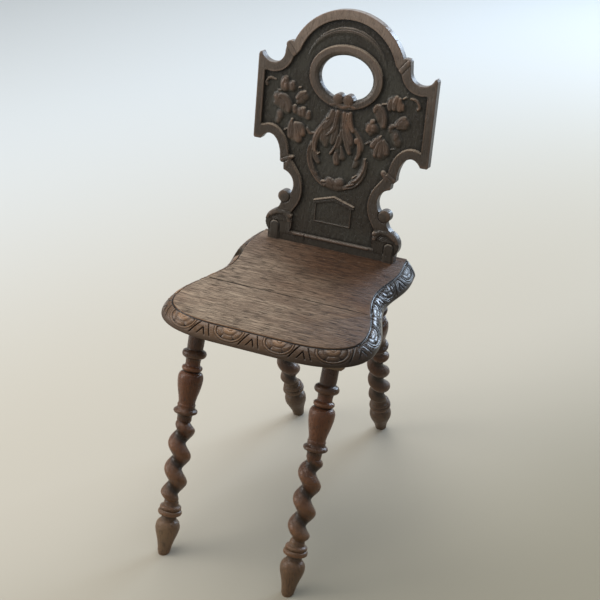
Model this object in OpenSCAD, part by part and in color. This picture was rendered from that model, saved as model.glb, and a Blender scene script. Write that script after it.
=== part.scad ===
// Carved hall chair: a plank back with an oval hand hole, a seat of two glued boards with a
// rounded rim, and four barley-twist legs that are wedged into two battens under the seat.
// Millimetres, +Z up, front towards -Y. The origin is on the floor under the middle of the
// overall size. Distances along Y are measured from the foot line of the back board, where
// its front face meets the seat, and the finished pieces are shifted by origin_y.

/* [Seat] */
// Height of the seat's top face above the floor
seat_h = 450; // [420:5:480]
// Thickness of the seat boards
seat_t = 27; // [25:0.5:32]
// Distance from the foot line forward to the front edge of the flat field
field_depth = 335.5; // [325:0.5:350]
// Distance from the foot line back to the rear edge of the seat
seat_behind = 31; // [28:0.5:38]
// Half width of the field where it is widest
half_front = 178; // [170:0.5:188]
// Half width of the field at its waist
half_waist = 139.5; // [134:0.5:146]
// Half width of the field at its rear shoulder
half_rear = 151.5; // [148:0.5:160]
// Half width of the field at the rear edge
half_back = 146; // [140:0.5:152]
// Distance from the foot line to the widest place
widest_at = 270; // [262:1:280]
// Distance from the foot line to the waist
waist_at = 118; // [108:1:130]
// Distance from the foot line to the rear shoulder
shoulder_at = 30; // [22:1:38]
// Half length of the straight middle of the front edge
front_flat = 60; // [45:1:75]
// Exponent of the front corner, where 2 is an ellipse and more is squarer
corner_power = 2.56; // [2:0.02:3]
// Distance from the foot line to the glued joint between the two boards
joint_at = 195; // [185:1:205]

/* [Seat rim] */
// How far the rounded rim stands out from the field
rim_out = 22.5; // [18:0.5:26]
// Depth of the step between the field and the rim
rim_step = 2.4; // [1.5:0.1:3]
// Width of the step's floor
step_floor = 4; // [3:0.5:6]
// Depth of the rim's furthest point below the field
rim_nose = 24.5; // [20:0.5:24.5]
// Exponent of the rim's slope, where 1 is straight and 2 is a quarter oval
rim_power = 1.2; // [1:0.05:2]
// Width of the rounding under the rim
under_round = 5.5; // [3:0.5:10]

/* [Back board] */
// Lean of the back board from upright, in degrees
lean = 8.55; // [5:0.05:12]
// Thickness of the back board
back_t = 18; // [16:0.5:22]
// Depth of the sunk ground behind the straps
ground_deep = 5; // [3:0.5:6]
// Width of the raised strap round the outline
strap_w = 17; // [14:0.5:19]
// Half width of the board at the seat
base_half = 129; // [124:0.5:134]
// Radius of the top arch
arch_r = 114.5; // [110:0.5:119]
// Height of the arch's centre above the seat
arch_h = 338.5; // [332:0.5:345]
// Height of the notch block beside the arch
notch_h = 381; // [376:0.5:386]
// Radius of the scoop between the notch and the ear
scoop_r = 24; // [21:0.5:26]
// Distance of the scoop's centre from the middle
scoop_x = 145.5; // [143:0.5:148]
// Height of the scoop's centre
scoop_h = 362.5; // [358:0.5:366]
// Half width of the wings
wing_half = 174; // [171:0.5:180]
// Height of the wings' bottom edge
wing_low = 191.5; // [186:0.5:195]
// Half width of the arch cut under each wing
bay_w = 25; // [22:0.5:27]
// Height of the arch cut under each wing
bay_tall = 44.5; // [41:0.5:48]
// Distance of that cut's centre from the middle
bay_x = 141.5; // [139:0.5:144]
// Height of that cut's centre
bay_h = 160; // [157:0.5:163]
// Radius of the hollow at the neck
neck_r = 28.3; // [26:0.1:30]
// Distance of the neck hollow's centre from the middle
neck_x = 113; // [111:0.5:115]
// Height of the neck hollow's centre
neck_h = 112; // [110:0.5:114]
// Radius of the knob on each scroll
knob_r = 12; // [10.5:0.5:13]
// Distance of the knob's centre from the middle
knob_x = 102; // [100:0.5:104]
// Height of the knob's centre
knob_h = 87.5; // [86:0.5:89]
// Radius of the scroll at each lower corner
scroll_r = 26.5; // [24:0.5:28]
// Distance of the scroll's centre from the middle
scroll_x = 110; // [108:0.5:112]
// Height of the scroll's centre
scroll_h = 34; // [32:0.5:36]

/* [Hand hole] */
// Half width of the oval hand hole
hole_half = 52.5; // [46:0.5:56]
// Half height of the oval hand hole
hole_tall = 41.5; // [37:0.5:44]
// Height of the hole's centre above the seat
hole_h = 330; // [326:0.5:334]
// Half width of the raised ring round the hole
ring_half = 72.5; // [69:0.5:74]
// Half height of the raised ring
ring_tall = 59; // [56:0.5:62]
// Width of the sunk lip inside the ring
lip_w = 6; // [4:0.5:8]
// Depth of the sunk lip
lip_deep = 3; // [2:0.5:4]
// Radius of the two lobes of the knot under the hole
lobe_r = 9.3; // [8:0.1:11]
// Height of the lobes' centres above the hole's lower edge
lobe_rise = 3; // [0.5:0.5:5.5]

/* [Carving] */
// Height of the moulded rail along the seat
rail_h = 19; // [16:0.5:21]
// Half width of the gabled tablet
tablet_half = 37; // [33:0.5:41]
// Height of the tablet's lower edge
tablet_low = 49.5; // [46:0.5:53]
// Height of the tablet's eaves
tablet_eaves = 86; // [82:0.5:90]
// Rise of the tablet's gable
gable_rise = 10; // [7:0.5:12]
// Thickness of the slab along the gable
gable_slab = 7; // [5:0.5:9]
// Outer radius of the rib over the hole
rib_r = 82; // [80:0.5:86]
// Width of that rib
rib_w = 12; // [10:0.5:13]
// Half width of the hanging loop
loop_half = 57; // [53:0.5:61]
// Height of the loop's upper ends
loop_top = 192; // [186:1:198]
// Drop of the loop from its upper ends
loop_drop = 68; // [64:1:72]
// Width of the loop's strap
loop_w = 7; // [5:0.5:9]
// Distance of each leaf cluster from the middle
cluster_x = 94; // [90:0.5:97]
// Height of each leaf cluster
cluster_h = 262; // [256:1:268]
// How far the leaves, the loop and the tablet lie below the straps' faces
leaf_sunk = 1; // [0.5:0.5:2]

/* [Legs] */
// Half distance between the front legs at the seat
front_top_x = 129; // [122:1:134]
// Distance of the front legs from the foot line at the seat
front_top_y = 280.5; // [274:0.5:286]
// Half distance between the rear legs at the seat
rear_top_x = 111.5; // [108:0.5:116]
// Distance of the rear legs from the foot line at the seat
rear_top_y = 43; // [38:0.5:58]
// Distance of the front left foot from the middle
front_left_x = 130.5; // [110:0.5:150]
// Distance of the front left foot from the foot line
front_left_y = 438.5; // [400:0.5:460]
// Distance of the front right foot from the middle
front_right_x = 121; // [110:0.5:150]
// Distance of the front right foot from the foot line
front_right_y = 443; // [400:0.5:460]
// Distance of the rear left foot from the middle
rear_left_x = 87.5; // [80:0.5:120]
// Distance of the rear left foot behind the foot line
rear_left_y = 80; // [60:0.5:110]
// Distance of the rear right foot from the middle
rear_right_x = 90; // [80:0.5:120]
// Distance of the rear right foot behind the foot line
rear_right_y = 108; // [60:0.5:115]
// Radius of the foot where it stands
foot_r = 9; // [8:0.5:12]
// Largest radius of the bulb above the foot
bulb_r = 22; // [19:0.5:25]
// Radius of the beads between the turned parts
bead_r = 21.5; // [19:0.5:25]
// Radius of the necks beside the beads
slim_r = 13.5; // [12:0.5:16]
// Largest radius of the vase under the seat
vase_r = 23; // [20:0.5:26]
// Radius of the plain neck that meets the batten
shoulder_r = 15; // [14:0.5:17]

/* [Barley twist] */
// Outer radius of the rope
rope_r = 22.5; // [20:0.5:25]
// Radius at the bottom of the rope's groove
groove_r = 9.5; // [8:0.5:12]
// Height of one turn of the rope
rope_pitch = 49; // [42:0.5:56]
// Distance along the leg from the floor to the rope's lower end
rope_low = 93; // [92:1:97]
// Distance along the leg from the floor to the rope's upper end
rope_top = 260; // [256:1:262]
// Length over which the rope swells at each end
rope_swell = 15; // [10:1:25]
// Turn of the front left leg's rope, in degrees
phase_front_left = 230; // [0:5:360]
// Turn of the front right leg's rope
phase_front_right = 345; // [0:5:360]
// Turn of the rear left leg's rope
phase_rear_left = 50; // [0:5:360]
// Turn of the rear right leg's rope
phase_rear_right = 60; // [0:5:360]

/* [Joints] */
// Width of the battens under the seat
batten_w = 56; // [50:1:60]
// Thickness of the battens below the seat
batten_t = 24; // [20:0.5:28]
// Distance from the foot line to the battens' front ends
batten_front = 312; // [306:1:316]
// Distance from the foot line back to the battens' rear ends
batten_rear = 28; // [20:1:30]
// Depth of the dovetail groove in the seat
dove_deep = 9; // [7:0.5:11]
// Half width of the dovetail at the seat's underside
dove_narrow = 20; // [17:0.5:22]
// Half width of the dovetail at the groove's floor
dove_wide = 24; // [22.5:0.5:26]
// Radius of the legs' round tenons
tenon_r = 11; // [9.5:0.5:12]
// Width of the wedge at the tenon's end
wedge_w = 3.4; // [2.5:0.1:5]
// Depth of the wedge in the tenon
wedge_deep = 20; // [14:1:24]
// Radius of the dowels in the seat's glued joint
dowel_r = 5; // [4:0.5:5.5]
// Length of those dowels
dowel_len = 56; // [40:2:70]
// Spacing of those dowels
dowel_gap = 70; // [60:1:72]
// Radius of the pegs that lock the battens
peg_r = 4; // [3:0.5:5]
// Distance from the foot line to the locking pegs
peg_at = 150; // [130:1:165]
// Distance of the back board's tenons from the middle
tang_x = 53; // [48:0.5:56]
// Width of the back board's tenons
tang_w = 40; // [34:0.5:44]
// Thickness of the back board's tenons
tang_t = 13; // [11:0.5:14]
// Length of the tenons below the seat
tang_below = 32; // [28:0.5:38]
// Width of the keys through the tenons
key_w = 14; // [11:0.5:17]
// Height of the keys at their thick end
key_tall = 12; // [10:0.5:14]
// Height that the keys lose towards their thin end
key_taper = 3; // [1:0.5:4]
// Length of the keys
key_len = 48; // [42:1:52]
// Clearance round sliding and turned joints
fit = 0.15; // [0.1:0.05:0.25]
// Clearance beside the wedges in the tenons
kerf_gap = 0.05; // [0.02:0.01:0.1]

/* [Hidden] */
$fn = 48;
big = 1000;
oak_worn = [0.46, 0.37, 0.30];
oak_dark = [0.27, 0.21, 0.18];
oak_red = [0.33, 0.23, 0.18];
oak_raw = [0.55, 0.42, 0.28];

// Heights of the faces that the pieces share
under = seat_h - seat_t;
batten_under = under - batten_t;
groove_top = under + dove_deep;

// Places where the leg axes meet the seat's underside and the floor: front left, front right,
// rear left, rear right
leg_tops = [[-front_top_x, -front_top_y], [front_top_x, -front_top_y],
    [-rear_top_x, -rear_top_y], [rear_top_x, -rear_top_y]];
leg_feet = [[-front_left_x, -front_left_y], [front_right_x, -front_right_y],
    [-rear_left_x, rear_left_y], [rear_right_x, rear_right_y]];
function leg_vec(k) = leg_tops[k] - leg_feet[k];
function leg_len(k) = norm([leg_vec(k)[0], leg_vec(k)[1], under]);
function leg_rake(k) = acos(under / leg_len(k));
function leg_turn(k) = atan2(leg_vec(k)[1], leg_vec(k)[0]);
function foot_edge(k) = abs(leg_feet[k][1]) + foot_r / cos(atan(leg_vec(k)[1] / under));
origin_y = (max(foot_edge(0), foot_edge(1)) - max(foot_edge(2), foot_edge(3))) / 2;

// Points on an arc, with the angles in degrees
function arc(c, r, a, b, n) = [for (i = [0:n]) c + r * [cos(a + (b - a) * i / n), sin(a + (b - a) * i / n)]];
function oval(c, rx, ry, a, b, n) = [for (i = [0:n])
    let(t = a + (b - a) * i / n) c + [rx * cos(t), ry * sin(t)]];
function mirrored(half) = concat(half, [for (i = [len(half) - 1:-1:0]) if (half[i][0] > 0.01) [-half[i][0], half[i][1]]]);
function ease(u) = (1 - cos(180 * u)) / 2;

// Seat field: a straight front edge, corners that are part of a superellipse, and sides that
// swing in to the waist and out again by cosine curves
corner_steps = 9;
side_steps = 8;
tail_steps = 5;
function corner_point(t) = [
    front_flat + (half_front - front_flat) * pow(cos(t), 2 / corner_power),
    -widest_at - (field_depth - widest_at) * pow(sin(t), 2 / corner_power)];
function side_point(u, x0, x1, y0, y1) = [x0 + (x1 - x0) * ease(u), y0 + (y1 - y0) * u];
half_field = concat(
    [for (i = [0:corner_steps]) corner_point(90 - 90 * i / corner_steps)],
    [for (i = [1:side_steps]) side_point(i / side_steps, half_front, half_waist, -widest_at, -waist_at)],
    [for (i = [1:side_steps]) side_point(i / side_steps, half_waist, half_rear, -waist_at, -shoulder_at)],
    [for (i = [1:tail_steps]) side_point(i / tail_steps, half_rear, half_back, -shoulder_at, seat_behind)],
    [[half_back, seat_behind + 2 * rim_out]]);
field_path = mirrored(half_field);
path_n = len(field_path);

// Rim profile: how far out and how deep, from the field's edge to the underside
rim_profile = concat(
    [[0, 0], [rim_step / 4, rim_step]],
    [for (i = [0:5]) let(t = 90 - 90 * i / 5) [
        step_floor + (rim_out - step_floor) * pow(cos(t), 2 / rim_power),
        rim_nose - (rim_nose - rim_step) * pow(sin(t), 2 / rim_power)]],
    oval([rim_out - under_round, rim_nose], under_round, seat_t - rim_nose, 22.5, 90, 3));
function path_normal(i) =
    let(d = field_path[(i + 1) % path_n] - field_path[(i + path_n - 1) % path_n]) [d[1], -d[0]] / norm(d);
function rim_point(i, k) = let(p = field_path[i] + rim_profile[k][0] * path_normal(i))
    [p[0], p[1], seat_h - rim_profile[k][1]];

// Back board outline, the right half from the top to the seat
ear_h = scoop_h - scoop_r * 0.35;
ear_x = scoop_x + sqrt(pow(scoop_r, 2) - pow(scoop_h - ear_h, 2));
notch_angle = asin((notch_h - arch_h) / arch_r);
bay_out = asin((wing_low - bay_h) / bay_tall);
crotch = 150;
crotch_at = [knob_x, knob_h] + knob_r * [cos(crotch), sin(crotch)];
neck_end = 360 + atan2(crotch_at[1] - neck_h, crotch_at[0] - neck_x);
knob_end = [knob_x, knob_h] + knob_r * [cos(-65), sin(-65)];
scroll_start = [scroll_x, scroll_h] + scroll_r * [cos(62), sin(62)];
function sweep_between(a, b, bulge, n) = [for (i = [0:n])
    let(t = i / n, m = (a + b) / 2 + bulge * [b[1] - a[1], a[0] - b[0]])
    pow(1 - t, 2) * a + 2 * t * (1 - t) * m + t * t * b];
board_half = concat(
    arc([0, arch_h], arch_r, 90, notch_angle, 16),
    [[scoop_x - scoop_r - 1.5, notch_h - 2]],
    arc([scoop_x, scoop_h], scoop_r, 180, 360 + asin((ear_h - scoop_h) / scoop_r), 12),
    [[ear_x + 2, ear_h + 1], [wing_half - 2, ear_h], [wing_half, ear_h - 4]],
    [[wing_half, wing_low + 2], [wing_half - 2, wing_low]],
    oval([bay_x, bay_h], bay_w, bay_tall, bay_out, 183, 14),
    [[bay_x - bay_w - 3, bay_h - 6.5], [bay_x - bay_w - 8, bay_h - 7.5]],
    arc([neck_x, neck_h], neck_r, 101, neck_end, 10),
    arc([knob_x, knob_h], knob_r, crotch, -65, 10),
    sweep_between(knob_end, scroll_start, 0.28, 5),
    arc([scroll_x, scroll_h], scroll_r, 55, -40, 9),
    [[base_half + 1, 14], [base_half, -8], [0, -8]]);

// Sunk ground between the straps, the right half
ground_arch = arch_r - strap_w;
ground_scoop = scoop_r + strap_w;
ground_wing = wing_half - strap_w;
ground_bay = bay_w + strap_w;
ground_tall = bay_tall + strap_w;
neck_inner_r = 60;
ground_half = concat(
    arc([0, arch_h], ground_arch, 90, notch_angle - 4, 12),
    arc([scoop_x, scoop_h], ground_scoop, 192, 285, 8),
    [[ground_wing, scoop_h - ground_scoop], [ground_wing, bay_h + ground_tall - 3]],
    oval([bay_x, bay_h], ground_bay, ground_tall, 70, 172, 12),
    arc([neck_x + 14, neck_h - 8], neck_inner_r, 145, 216, 8),
    arc([scroll_x, scroll_h], scroll_r + 1, 140, 205, 5),
    [[scroll_x - 22, rail_h], [0, rail_h]]);

// A pointed leaf as a closed outline, its stem at the origin and its tip at [0, -size]
function leaf(size, wide) = concat(
    [for (i = [0:6]) [wide / 2 * sin(180 * pow(i / 6, 0.8)), -size * i / 6]],
    [for (i = [5:-1:1]) [-wide / 2 * sin(180 * pow(i / 6, 0.8)), -size * i / 6]]);

// Leaves of the bundle under the knot: place, turn, length and width
bundle = [[-3, 262, -6, 92, 20], [-12, 262, -34, 78, 17], [10, 262, 14, 76, 17], [-10, 258, -20, 70, 15],
    [16, 258, 34, 74, 16]];
// Leaves and berries of one cluster, measured from the cluster's centre
cluster_leaves = [[-2, -22, 0, 42, 22], [-6, -24, -24, 36, 16], [6, -22, 22, 38, 17], [14, 18, 150, 30, 16],
    [-16, 22, 195, 26, 13]];
cluster_berries = [[27, 10, 12], [22, -16, 9], [-17, -6, 11], [-9, 24, 10], [8, 40, 10], [26, -1, 8], [-27, -8, 7]];

module in_frame() translate([0, origin_y, 0]) children();

// Turns a flat outline, X across and Y up the board, into a slab that starts deep below the
// board's front face and is thick millimetres thick, and leans it back with the board
module on_board(deep, thick)
    translate([0, 0, seat_h]) rotate([-lean, 0, 0])
        translate([0, deep + thick, 0]) rotate([90, 0, 0]) linear_extrude(thick) children();

module both_sides() {
    children();
    mirror([1, 0, 0]) children();
}

module above(z) translate([-big / 2, -big / 2, z]) cube(big);
module below(z) translate([-big / 2, -big / 2, z - big]) cube(big);

// Stands children on the floor at a foot and leans them along that leg's axis
module along_leg(k) translate([leg_feet[k][0], leg_feet[k][1], 0]) rotate([0, leg_rake(k), leg_turn(k)]) children();

// A round bar along a leg, turned so that its seam stays clear of the level cuts
seam = 40;
module leg_bar(k, r, from) along_leg(k) rotate([0, 0, seam]) translate([0, 0, from]) cylinder(r = r, h = 2 * seat_h);

// Lays children along the line through the two leg tops on the right, at the seat's underside
module along_batten() {
    d = leg_tops[3] - leg_tops[1];
    translate([leg_tops[1][0], leg_tops[1][1], under]) rotate([0, 0, atan2(-d[0], d[1])]) children();
}

// The dovetail's section, larger by the gap
module dovetail(gap) polygon([[-dove_narrow - gap, -1], [-dove_narrow - gap, 0], [-dove_wide - gap, dove_deep + gap],
    [dove_wide + gap, dove_deep + gap], [dove_narrow + gap, 0], [dove_narrow + gap, -1]]);

// Extrudes a section along the batten between two distances from its front leg
module run(from, to) translate([0, to, 0]) rotate([90, 0, 0]) linear_extrude(to - from) children();

module batten_groove() along_batten() run(front_top_y - batten_front, big / 2) dovetail(fit);

// Slanted mortises for the back board's tenons
module tang_slots() both_sides() translate([tang_x, 0, 0]) on_board((back_t - tang_t) / 2 - fit, tang_t + 2 * fit)
    translate([-tang_w / 2 - fit, -2 * seat_t]) square([tang_w + 2 * fit, 3 * seat_t]);

module peg_line(r, z0, z1) both_sides() along_batten() translate([0, front_top_y - peg_at, z0]) cylinder(r = r, h = z1 - z0);
peg_low = -batten_t;
peg_top = seat_t - 6;

module dowel_row(r, gap) for (k = [-1:1]) translate([k * dowel_gap, -joint_at, seat_h - seat_t / 2])
    rotate([90, 0, 0]) cylinder(r = r, h = dowel_len + 2 * gap, center = true);

module seat_blank() {
    rings = len(rim_profile);
    polyhedron(
        points = [for (k = [0:rings - 1]) for (i = [0:path_n - 1]) rim_point(i, k)],
        faces = concat(
            [[for (i = [path_n - 1:-1:0]) i]],
            [[for (i = [0:path_n - 1]) (rings - 1) * path_n + i]],
            [for (k = [0:rings - 2]) for (i = [0:path_n - 1]) for (s = [0:1])
                let(a = k * path_n + i, b = k * path_n + (i + 1) % path_n)
                s == 0 ? [a, b, b + path_n] : [a, b + path_n, a + path_n]]));
}

module seat_body() difference() {
    seat_blank();
    translate([-big / 2, seat_behind, 0]) cube(big);
    both_sides() batten_groove();
    tang_slots();
    peg_line(peg_r + fit, 0, peg_top + 1);
    dowel_row(dowel_r + fit, 1);
}

module seat_front_board() color(oak_worn) in_frame() difference() {
    seat_body();
    translate([-big / 2, -joint_at, 0]) cube(big);
}

module seat_rear_board() color(oak_worn) in_frame() difference() {
    seat_body();
    translate([-big / 2, -joint_at - big, 0]) cube(big);
}

module seat_dowels() color(oak_raw) in_frame() dowel_row(dowel_r, 0);

// A batten with its dovetail, on the right (1) or on the left (-1)
module batten(side) difference() {
    mirror([side < 0 ? 1 : 0, 0, 0]) along_batten() union() {
        run(front_top_y - batten_front, front_top_y + batten_rear) polygon([
            [-batten_w / 2, 0], [batten_w / 2, 0], [batten_w / 2, 6 - batten_t], [batten_w / 2 - 6, -batten_t],
            [6 - batten_w / 2, -batten_t], [-batten_w / 2, 6 - batten_t]]);
        run(front_top_y - batten_front + 1, front_top_y + batten_rear) dovetail(0);
    }
    for (k = side < 0 ? [0, 2] : [1, 3]) leg_bar(k, tenon_r + fit, 0);
    peg_line(peg_r + fit, -2 * batten_t, 2 * seat_t);
}

module batten_right() color(oak_raw) in_frame() batten(1);
module batten_left() color(oak_raw) in_frame() batten(-1);
module batten_pegs() color(oak_raw) in_frame() peg_line(peg_r, peg_low, peg_top);

// Turned profile of a leg, as [radius, distance from the floor], below and above the rope.
// A bead is half of an oval that bulges from a neck.
function bead(z, tall, r, neck) = oval([neck, z], r - neck, tall / 2, -80, 80, 8);
bulb_z = 50;
double_z = 83;
lower_profile = concat(
    [[0, -9], [foot_r, -9], [foot_r, 3]],
    [for (i = [1:5]) [foot_r + 1.5 + (bulb_r - foot_r - 1.5) * pow(i / 5, 1.4) * 0.92, 3 + (bulb_z - 12) * i / 5]],
    oval([0, bulb_z], bulb_r, 15, -20, 52, 6),
    [[slim_r + 1, bulb_z + 16]],
    bead(double_z - 4, 8, bead_r, slim_r), bead(double_z + 4, 8, bead_r - 0.5, slim_r),
    [[slim_r, rope_low + 1.5], [0, rope_low + 1.5]]);
ring_low = 275;
vase_low = ring_low + 9;
vase_belly = 332;
ring_mid = 353;
ring_top = 380;
upper_profile = concat(
    [[0, rope_top - 1.5], [slim_r, rope_top - 1.5]],
    bead(ring_low, 13, bead_r + 0.5, slim_r + 1),
    [for (i = [0:7]) [slim_r + 2 + (vase_r - slim_r - 2) * pow(sin(90 * i / 7), 1.4),
        vase_low + (vase_belly - vase_low) * i / 7]],
    oval([slim_r + 2, vase_belly], vase_r - slim_r - 2, 13, 15, 80, 4),
    bead(ring_mid, 10, bead_r - 3, slim_r + 1),
    [[slim_r, ring_mid + 8], [slim_r, ring_mid + 14]],
    bead(ring_top, 15, bead_r + 0.5, slim_r + 1),
    [[slim_r + 1, ring_top + 11], [shoulder_r, ring_top + 20], [shoulder_r, seat_h + 60], [0, seat_h + 60]]);

// Rope: at each height the section is a round lobe that turns with the height, left handed,
// and swells from the neck at both ends
rope_sides = 18;
rope_rings = 42;
function rope_swing(z) = min(1, min(z - rope_low, rope_top - z) / rope_swell);
function wrap(a) = a - 360 * floor((a + 180) / 360);
function rope_radius(a, z) = groove_r + (rope_r - groove_r) * pow(rope_swing(z), 0.6)
    * (1 - pow(abs(wrap(a + 360 * z / rope_pitch)) / 180, 1.5));
module rope(phase) polyhedron(
    points = [for (k = [0:rope_rings]) for (j = [0:rope_sides - 1])
        let(z = rope_low + (rope_top - rope_low) * k / rope_rings, a = 360 * j / rope_sides, r = rope_radius(a - phase, z))
        [r * cos(a), r * sin(a), z]],
    faces = concat(
        [[for (j = [0:rope_sides - 1]) j]],
        [[for (j = [rope_sides - 1:-1:0]) rope_rings * rope_sides + j]],
        [for (k = [0:rope_rings - 1]) for (j = [0:rope_sides - 1]) for (s = [0:1])
            let(a = k * rope_sides + j, b = k * rope_sides + (j + 1) % rope_sides)
            s == 0 ? [a, b + rope_sides, b] : [a, a + rope_sides, b + rope_sides]]));

// The wedge at the tenon's end, across the batten's grain
function tenon_top(k) = leg_len(k) * groove_top / under;
module wedge_shape(k, gap) along_leg(k) translate([0, tenon_r + 1, tenon_top(k)]) rotate([90, 0, 0])
    linear_extrude(2 * tenon_r + 2) polygon([
        [-wedge_w / 2 - gap, big], [-wedge_w / 2 - gap, 0], [-wedge_w / 5 - gap, -wedge_deep - gap],
        [wedge_w / 5 + gap, -wedge_deep - gap], [wedge_w / 2 + gap, 0], [wedge_w / 2 + gap, big]]);

module leg(k, phase) difference() {
    union() {
        difference() {
            along_leg(k) union() {
                rotate([0, 0, seam]) rotate_extrude() polygon(lower_profile);
                rotate([0, 0, seam]) rotate_extrude() polygon(upper_profile);
                rope(phase);
            }
            above(batten_under);
        }
        intersection() {
            leg_bar(k, tenon_r, vase_belly);
            below(groove_top);
        }
    }
    below(0);
    wedge_shape(k, kerf_gap);
}

module leg_front_left() color(oak_red) in_frame() leg(0, phase_front_left);
module leg_front_right() color(oak_red) in_frame() leg(1, phase_front_right);
module leg_rear_left() color(oak_red) in_frame() leg(2, phase_rear_left);
module leg_rear_right() color(oak_red) in_frame() leg(3, phase_rear_right);

module leg_wedges() color(oak_raw) in_frame() for (k = [0:3]) intersection() {
    wedge_shape(k, 0);
    leg_bar(k, tenon_r, 0);
    below(groove_top);
}

// Parts of the carving, drawn flat as seen from the front
module oval_at(c, rx, ry) polygon(oval(c, rx, ry, 0, 352.5, 47));
module outline() polygon(mirrored(board_half));
module ground() polygon(mirrored(ground_half));
module lobes() for (x = [-lobe_r, lobe_r]) translate([x * 1.04, hole_h - hole_tall + lobe_rise]) circle(r = lobe_r);
module hand_hole() oval_at([0, hole_h], hole_half, hole_tall);
module hole_lip() oval_at([0, hole_h], hole_half + lip_w, hole_tall + lip_w);
module rib() polygon(concat(arc([0, arch_h], rib_r, 23, 157, 16), arc([0, arch_h], rib_r - rib_w, 157, 23, 16)));
module loop() polygon(concat(oval([0, loop_top], loop_half, loop_drop, 180, 360, 20),
    oval([0, loop_top], loop_half - loop_w, loop_drop - loop_w, 360, 180, 20)));
module gable() polygon([[-tablet_half - gable_slab, tablet_eaves], [0, tablet_eaves + gable_rise],
    [tablet_half + gable_slab, tablet_eaves], [tablet_half + gable_slab, tablet_eaves + gable_slab],
    [0, tablet_eaves + gable_rise + gable_slab], [-tablet_half - gable_slab, tablet_eaves + gable_slab]]);
module tablet() polygon([[-tablet_half, tablet_low], [tablet_half, tablet_low], [tablet_half, tablet_eaves + 1],
    [0, tablet_eaves + gable_rise + 1], [-tablet_half, tablet_eaves + 1]]);
module leaf_at(l) translate([l[0], l[1]]) rotate(l[2]) polygon(leaf(l[3], l[4]));
module foliage() {
    for (l = bundle) leaf_at(l);
    both_sides() translate([-cluster_x, cluster_h]) {
        for (l = cluster_leaves) leaf_at(l);
        for (b = cluster_berries) translate([b[0], b[1]]) circle(r = b[2]);
    }
}
module proud() {
    oval_at([0, hole_h], ring_half, ring_tall);
    rib();
    gable();
}
module low_relief() {
    tablet();
    loop();
    foliage();
}

// The tenons' outline, as long as they reach along the board
module tangs() both_sides() translate([tang_x - tang_w / 2, -(seat_t + tang_below) / cos(lean)])
    square([tang_w, (seat_t + tang_below) / cos(lean) + 6]);

// Keys: their upper face bears on the seat's underside and the lower one tapers forwards
key_mid = back_t / 2 * cos(lean) - (seat_t - back_t / 2 * sin(lean)) * tan(lean) - 3;
function key_z(y) = under - key_tall + key_taper * (key_mid + key_len / 2 - y) / key_len;
module key_shape(from, to, top, gap) both_sides() translate([tang_x - key_w / 2 - gap, 0, 0])
    rotate([90, 0, 90]) linear_extrude(key_w + 2 * gap)
        polygon([[from, key_z(from)], [to, key_z(to)], [to, top], [from, top]]);

module back_board() color(oak_dark) in_frame() difference() {
    union() {
        difference() {
            on_board(0, back_t) outline();
            below(seat_h);
            on_board(-1, leaf_sunk + 1) difference() {
                ground();
                proud();
            }
            on_board(-1, ground_deep + 1) difference() {
                ground();
                proud();
                low_relief();
            }
            on_board(-1, lip_deep + 1) hole_lip();
            on_board(-1, back_t + 2) hand_hole();
        }
        on_board(0, back_t) lobes();
        on_board((back_t - tang_t) / 2, tang_t) tangs();
    }
    key_shape(key_mid - key_len, key_mid + key_len, under + 3, fit);
}

module back_keys() color(oak_raw) in_frame() key_shape(key_mid - key_len / 2, key_mid + key_len / 2, under, 0);

seat_front_board();
seat_rear_board();
seat_dowels();
batten_left();
batten_right();
batten_pegs();
leg_front_left();
leg_front_right();
leg_rear_left();
leg_rear_right();
leg_wedges();
back_board();
back_keys();
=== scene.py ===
"""Carved hall chair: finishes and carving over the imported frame.

Lengths in this script are millimetres until a mesh is made. The board's own coordinates are
x to the right, h up along the leaning board from its foot line, and a depth behind its face.
"""

import bmesh
import bpy
import numpy as np
from mathutils import Matrix
from mathutils.geometry import tessellate_polygon


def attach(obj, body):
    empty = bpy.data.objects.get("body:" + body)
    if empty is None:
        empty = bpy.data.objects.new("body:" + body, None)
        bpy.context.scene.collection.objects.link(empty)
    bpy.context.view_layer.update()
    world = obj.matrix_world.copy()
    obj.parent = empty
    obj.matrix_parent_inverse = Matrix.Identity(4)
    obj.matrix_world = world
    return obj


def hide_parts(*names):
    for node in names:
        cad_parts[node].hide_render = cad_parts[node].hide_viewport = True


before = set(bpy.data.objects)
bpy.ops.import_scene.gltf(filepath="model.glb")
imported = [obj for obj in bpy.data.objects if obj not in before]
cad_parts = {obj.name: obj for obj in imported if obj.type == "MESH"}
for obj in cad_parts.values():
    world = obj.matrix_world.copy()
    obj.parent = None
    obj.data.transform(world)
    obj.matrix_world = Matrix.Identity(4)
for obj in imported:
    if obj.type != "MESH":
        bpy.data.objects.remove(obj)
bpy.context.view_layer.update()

FOOT_LINE = 167.5425
SEAT_TOP = 450.0
SEAT_UNDER = 423.0
LEAN = np.radians(8.55)


# ---------------------------------------------------------------- shared shapes

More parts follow.
